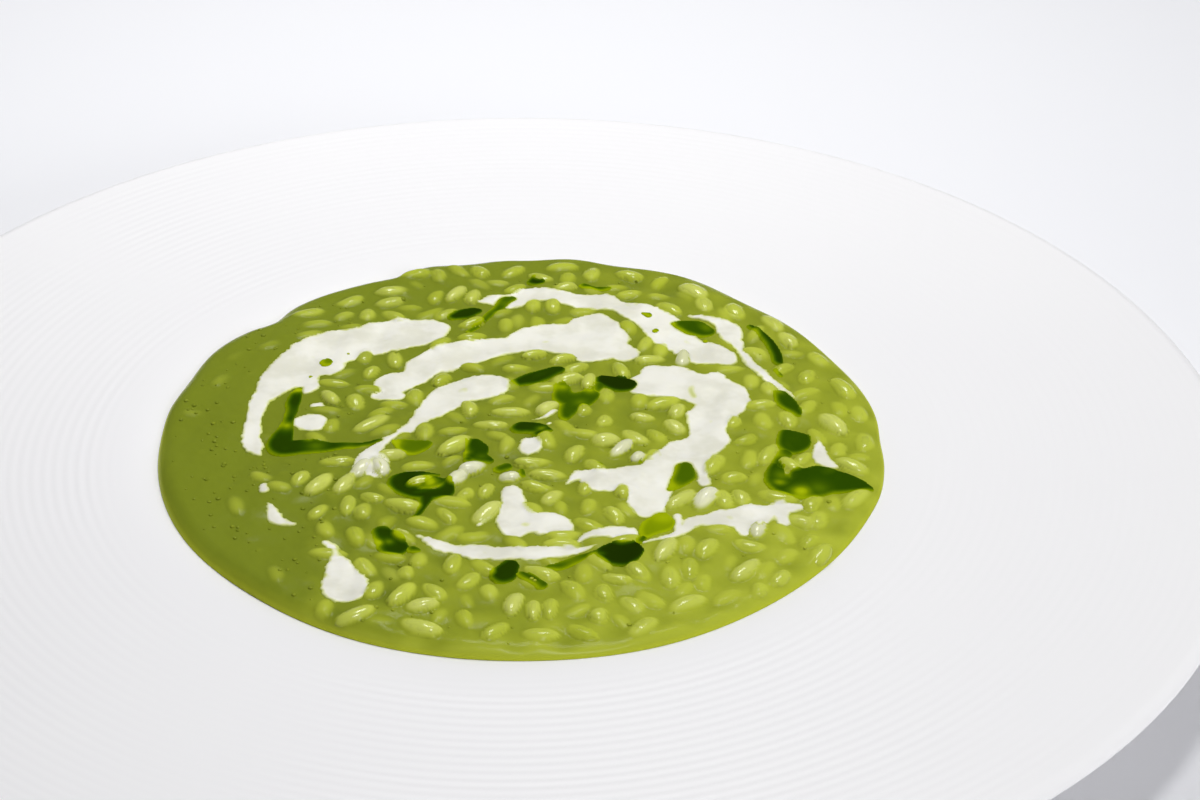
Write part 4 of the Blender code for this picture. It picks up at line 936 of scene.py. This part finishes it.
def make_oil(name, curves, density, grains, material, replaced, rise=0.0):
    """One drop of oil: level and sharp-edged, dark where it is deep, and clear over grains, with a painted
    caustic that makes it clear at its lower left. It can be raised, to lie on cream."""
    def depth(x, y):
        return depth_inside(x, y, curves) + 0.10 * ripple(x, y, *OIL_RAGGED)

    points, faces, edge = cut_sheet(depth, box_round(curves, 5.0), OIL_STEP)
    x, y = points[:, 0], points[:, 1]
    inward = np.maximum(depth(x, y), 0.0)
    ground = sauce_height(x, y, grains) + rise
    level = sauce_level(x, y) + rise + 0.10 + lens(inward, OIL_DEPTH, OIL_ROUND)
    thickness = smooth_max(level, ground + 0.05, 0.15) - ground
    verts, faces, inner = drape(points, edge, faces, ground, thickness)
    hump = np.clip((ground - rise - sauce_level(x, y)) / 0.8, 0.0, 1.0)
    for spot_x, spot_y, radius, strength in OIL_THIN:
        away = np.hypot(x - spot_x, y - spot_y) / radius
        hump = np.maximum(hump, strength * np.exp(-away ** 2))
    # painted caustic: the drop grows clear towards its lower-left edge, as if light came through it there
    painted_caustic_fade = np.clip(depth(x - 0.5, y - 0.4) / 1.1, 0.0, 1.0)
    deep = lens(inward, 1.0, 0.4) * (0.2 + 0.8 * painted_caustic_fade) * (1.0 - hump)
    dark = 1.0 - np.exp(-density * deep)
    return add_piece(name, verts, faces, material, replaced, {
        "dark": np.append(dark, dark[inner])})


# ---- materials
def start_material(name, roughness, ior, specular, inside=0.0, reach=(1.0, 1.0, 1.0)):
    """A plain material: how rough and glossy it is, and how much light travels inside it, with the reach of
    red, green and blue in millimetres."""
    material = bpy.data.materials.new(name)
    material.use_nodes = True
    tree = material.node_tree
    shader = tree.nodes["Principled BSDF"]
    for key, value in (("Roughness", roughness), ("IOR", ior), ("Specular IOR Level", specular),
                       ("Subsurface Weight", inside), ("Subsurface Radius", reach), ("Subsurface Scale", MM)):
        shader.inputs[key].default_value = value
    return material, tree, shader


def add_node(tree, kind, output, inputs, **settings):
    """A shader node, and the output of it that is wanted. An input is a value or another node's output."""
    node = tree.nodes.new(kind)
    for key, value in settings.items():
        setattr(node, key, value)
    for key, value in inputs.items():
        if isinstance(value, bpy.types.NodeSocket):
            tree.links.new(value, node.inputs[key])
        else:
            node.inputs[key].default_value = value
    return node.outputs[output]


def attribute_node(tree, name):
    return add_node(tree, "ShaderNodeAttribute", "Fac", {}, attribute_name=name)


def noise_node(tree, scale, detail=3.0, roughness=0.5):
    place = add_node(tree, "ShaderNodeTexCoord", "Object", {})
    inputs = {"Scale": scale, "Detail": detail, "Roughness": roughness, "Vector": place}
    return add_node(tree, "ShaderNodeTexNoise", "Fac", inputs)


def ramp_node(tree, factor, stops):
    """A colour ramp; stops are (position, linear colour)."""
    node = tree.nodes.new("ShaderNodeValToRGB")
    ramp = node.color_ramp
    while len(ramp.elements) < len(stops):
        ramp.elements.new(0.5)
    for element, (position, colour) in zip(ramp.elements, stops):
        element.position = position
        element.color = colour
    tree.links.new(factor, node.inputs["Fac"])
    return node.outputs["Color"]


def mix_node(tree, factor, a, b, blend="MIX"):
    inputs = {"Factor": factor, 6: a, 7: b}     # the sixth and seventh sockets are the colours
    return add_node(tree, "ShaderNodeMix", 2, inputs, data_type="RGBA", blend_type=blend)


def math_node(tree, operation, a, b):
    return add_node(tree, "ShaderNodeMath", 0, {0: a, 1: b}, operation=operation)


def map_node(tree, value, low, high, to_low=0.0, to_high=1.0):
    inputs = {"Value": value, "From Min": low, "From Max": high, "To Min": to_low, "To Max": to_high}
    return add_node(tree, "ShaderNodeMapRange", "Result", inputs, interpolation_type="SMOOTHSTEP")


def finish_material(material, tree, shader, colour, bumps=None):
    """Give the shader its colour and, if the settings of a noise are given, fine bumps."""
    tree.links.new(colour, shader.inputs["Base Color"])
    if bumps:
        height = noise_node(tree, *bumps)
        inputs = {"Strength": BUMP_STRENGTH, "Distance": BUMP_DISTANCE, "Height": height}
        bump = add_node(tree, "ShaderNodeBump", "Normal", inputs)
        tree.links.new(bump, shader.inputs["Normal"])
    return material


def srgb(red, green, blue):
    """A colour seen on screen, 0 to 255, as linear values."""
    def one(value):
        value /= 255.0
        return value / 12.92 if value <= 0.04045 else ((value + 0.055) / 1.055) ** 2.4
    return (one(red), one(green), one(blue), 1.0)


def porcelain_material():
    material, tree, shader = start_material("porcelain", 0.38, 1.5, 0.4)
    cloud = noise_node(tree, 9.0)
    colour = ramp_node(tree, cloud, [(0.3, (0.893, 0.882, 0.892, 1.0)), (0.7, (0.912, 0.902, 0.908, 1.0))])
    return finish_material(material, tree, shader, colour)


def grain_and_sauce_colour(tree):
    """Sauce, darker or paler by its tone and by its painted light and shade, mixed with the grain's own tone
    as far as the grain shows.
    """
    speck = math_node(tree, "MULTIPLY", noise_node(tree, 420.0, 4.0, 0.6), 0.14)
    # the sauce's tone with its painted light and shade, and fine specks
    pale = math_node(tree, "ADD", attribute_node(tree, "tone_and_painted_light"), math_node(tree, "SUBTRACT", speck, 0.07))
    sauce = ramp_node(tree, pale, [
        (0.0, srgb(122, 134, 34)), (0.5, srgb(147, 157, 42)), (1.0, srgb(176, 185, 58))])
    rice = ramp_node(tree, attribute_node(tree, "tone"), [
        (0.0, srgb(172, 184, 46)), (0.5, srgb(196, 206, 76)), (0.85, srgb(212, 218, 116)),
        (1.0, srgb(232, 232, 196))])
    return mix_node(tree, attribute_node(tree, "grain"), sauce, rice)


def sauce_material():
    """Sauce, yellower along the pool's edge."""
    material, tree, shader = start_material("green_sauce", 0.18, 1.4, 0.07, 0.15, (1.0, 1.0, 0.3))
    edge = map_node(tree, attribute_node(tree, "inward"), 0.0, 0.9, 0.6, 0.0)
    colour = mix_node(tree, edge, grain_and_sauce_colour(tree), srgb(190, 198, 50))
    return finish_material(material, tree, shader, colour, (900.0, 4.0, 0.6))


def rice_material():
    material, tree, shader = start_material("rice", 0.19, 1.42, 0.6, 0.2, (1.2, 1.2, 0.5))
    return finish_material(material, tree, shader, grain_and_sauce_colour(tree), (700.0, 3.0))


def cream_material():
    """White, greener where it is thin, and with painted grey shade in faint creases."""
    material, tree, shader = start_material("cream", 0.35, 1.4, 0.3, 0.15, (1.0, 0.9, 0.6))
    rim = map_node(tree, attribute_node(tree, "inward"), 0.0, 1.0)
    thick = map_node(tree, attribute_node(tree, "thickness"), 0.0, 0.12)
    colour = ramp_node(tree, math_node(tree, "MULTIPLY", rim, thick), [
        (0.0, srgb(196, 206, 96)), (0.4, srgb(230, 232, 180)), (0.85, srgb(242, 240, 227))])
    # painted shade: grey in faint creases
    painted_crease_shade = map_node(tree, noise_node(tree, 110.0, 3.0, 0.6), 0.35, 0.62)
    shaded = mix_node(tree, 0.7, colour, (0.80, 0.80, 0.74, 1.0), "MULTIPLY")
    return finish_material(material, tree, shader, mix_node(tree, painted_crease_shade, shaded, colour))


def oil_material():
    material, tree, shader = start_material("herb_oil", 0.15, 1.47, 0.0)
    # dark where the oil is deep; its clear lower left is a painted caustic
    colour = ramp_node(tree, attribute_node(tree, "dark"), [
        (0.0, srgb(168, 184, 14)), (0.25, srgb(150, 168, 6)), (0.5, srgb(112, 134, 4)),
        (0.75, srgb(76, 104, 4)), (0.92, srgb(44, 74, 2)), (1.0, srgb(28, 46, 2))])
    return finish_material(material, tree, shader, colour)


# ---- camera, floor and light
def add_camera():
    data = bpy.data.cameras.new("camera")
    data.lens = CAMERA_LENS
    data.sensor_width = 36.0
    data.clip_end = 20.0
    camera = bpy.data.objects.new("camera", data)
    bpy.context.scene.collection.objects.link(camera)
    slope = math.radians(CAMERA_ELEVATION)
    place = Vector((0.0, -CAMERA_DISTANCE * math.cos(slope), RIM_TOP + CAMERA_DISTANCE * math.sin(slope)))
    aim = Vector((*CAMERA_AIM, RIM_TOP))
    turn = (aim - place).to_track_quat("-Z", "Y").to_matrix().to_4x4()
    roll = Matrix.Rotation(math.radians(CAMERA_ROLL), 4, "Z")
    camera.matrix_world = Matrix.Translation(place * MM) @ turn @ roll
    bpy.context.scene.camera = camera


def add_floor():
    """The table that the dish stands on."""
    mesh = bpy.data.meshes.new("floor")
    corners = [(-1, -1), (1, -1), (1, 1), (-1, 1)]
    mesh.from_pydata([(FLOOR_REACH * x, FLOOR_REACH * y, 0.0) for x, y in corners], [], [(0, 1, 2, 3)])
    material, _, shader = start_material("pale_floor", 0.7, 1.5, 0.5)
    shader.inputs["Base Color"].default_value = FLOOR_COLOUR
    mesh.materials.append(material)
    floor = bpy.data.objects.new("floor", mesh)
    bpy.context.scene.collection.objects.link(floor)


def add_area(name, place, aim, size, power, kind):
    """A rectangular light. A soft one only lights and is mirrored nowhere, and a glint is only mirrored."""
    data = bpy.data.lights.new(name, "AREA")
    data.shape = "RECTANGLE"
    data.size, data.size_y = size
    data.energy = power
    light = bpy.data.objects.new(name, data)
    light.location = place
    light.rotation_euler = (Vector(aim) - Vector(place)).to_track_quat("-Z", "Y").to_euler()
    light.visible_glossy = kind != "soft"
    light.visible_diffuse = kind != "glint"
    bpy.context.scene.collection.objects.link(light)


def add_light():
    """A dim bluish world and the lights: soft ones all round, and two that only make glints."""
    world = bpy.data.worlds.new("studio")
    world.use_nodes = True
    background = world.node_tree.nodes["Background"]
    background.inputs["Color"].default_value = WORLD_COLOUR
    background.inputs["Strength"].default_value = WORLD_STRENGTH
    bpy.context.scene.world = world
    for row in LIGHTS:
        add_area(*row)
    bpy.context.scene.view_settings.view_transform = "Standard"


# ---- the dish
def main():
    add_camera()
    add_floor()
    add_light()
    porcelain, green, rice = porcelain_material(), sauce_material(), rice_material()
    white, herb_oil = cream_material(), oil_material()
    cream = {name: [smooth_stroke(stroke) for stroke in strokes] for name, strokes in CREAM.items()}
    oil = {name: [smooth_stroke(stroke) for stroke in strokes] for name, (_, strokes) in OIL.items()}
    all_cream = [curve for curves in cream.values() for curve in curves]
    all_oil = [curve for curves in oil.values() for curve in curves]
    make_plate(porcelain)
    grains = scatter_grains(all_cream, all_oil)
    make_sauce(grains, green)
    make_rice(grains, rice)
    make_bubbles(all_cream + all_oil, grains, green)
    for name, curves in cream.items():
        make_cream("poured_" + name, curves, grains, all_oil, white, [name])
    for number, stroke in enumerate(CREAM_BITS):
        make_cream(f"cream_bit_{number}", [smooth_stroke(stroke)], grains, all_oil, white, [])
    for name, curves in oil.items():
        make_oil("dropped_" + name, curves, OIL[name][0], grains, herb_oil, [name])
    for number, stroke in enumerate(OIL_BITS):
        curves = [smooth_stroke(stroke)]
        make_oil(f"oil_bit_{number}", curves, OIL_BIT_DENSITY, grains, herb_oil, [])
    for number, stroke in enumerate(OIL_ON_CREAM):
        curves = [smooth_stroke(stroke)]
        make_oil(f"oil_dot_{number}", curves, OIL_DOT_DENSITY, grains, herb_oil, [], CREAM_DEPTH)


main()
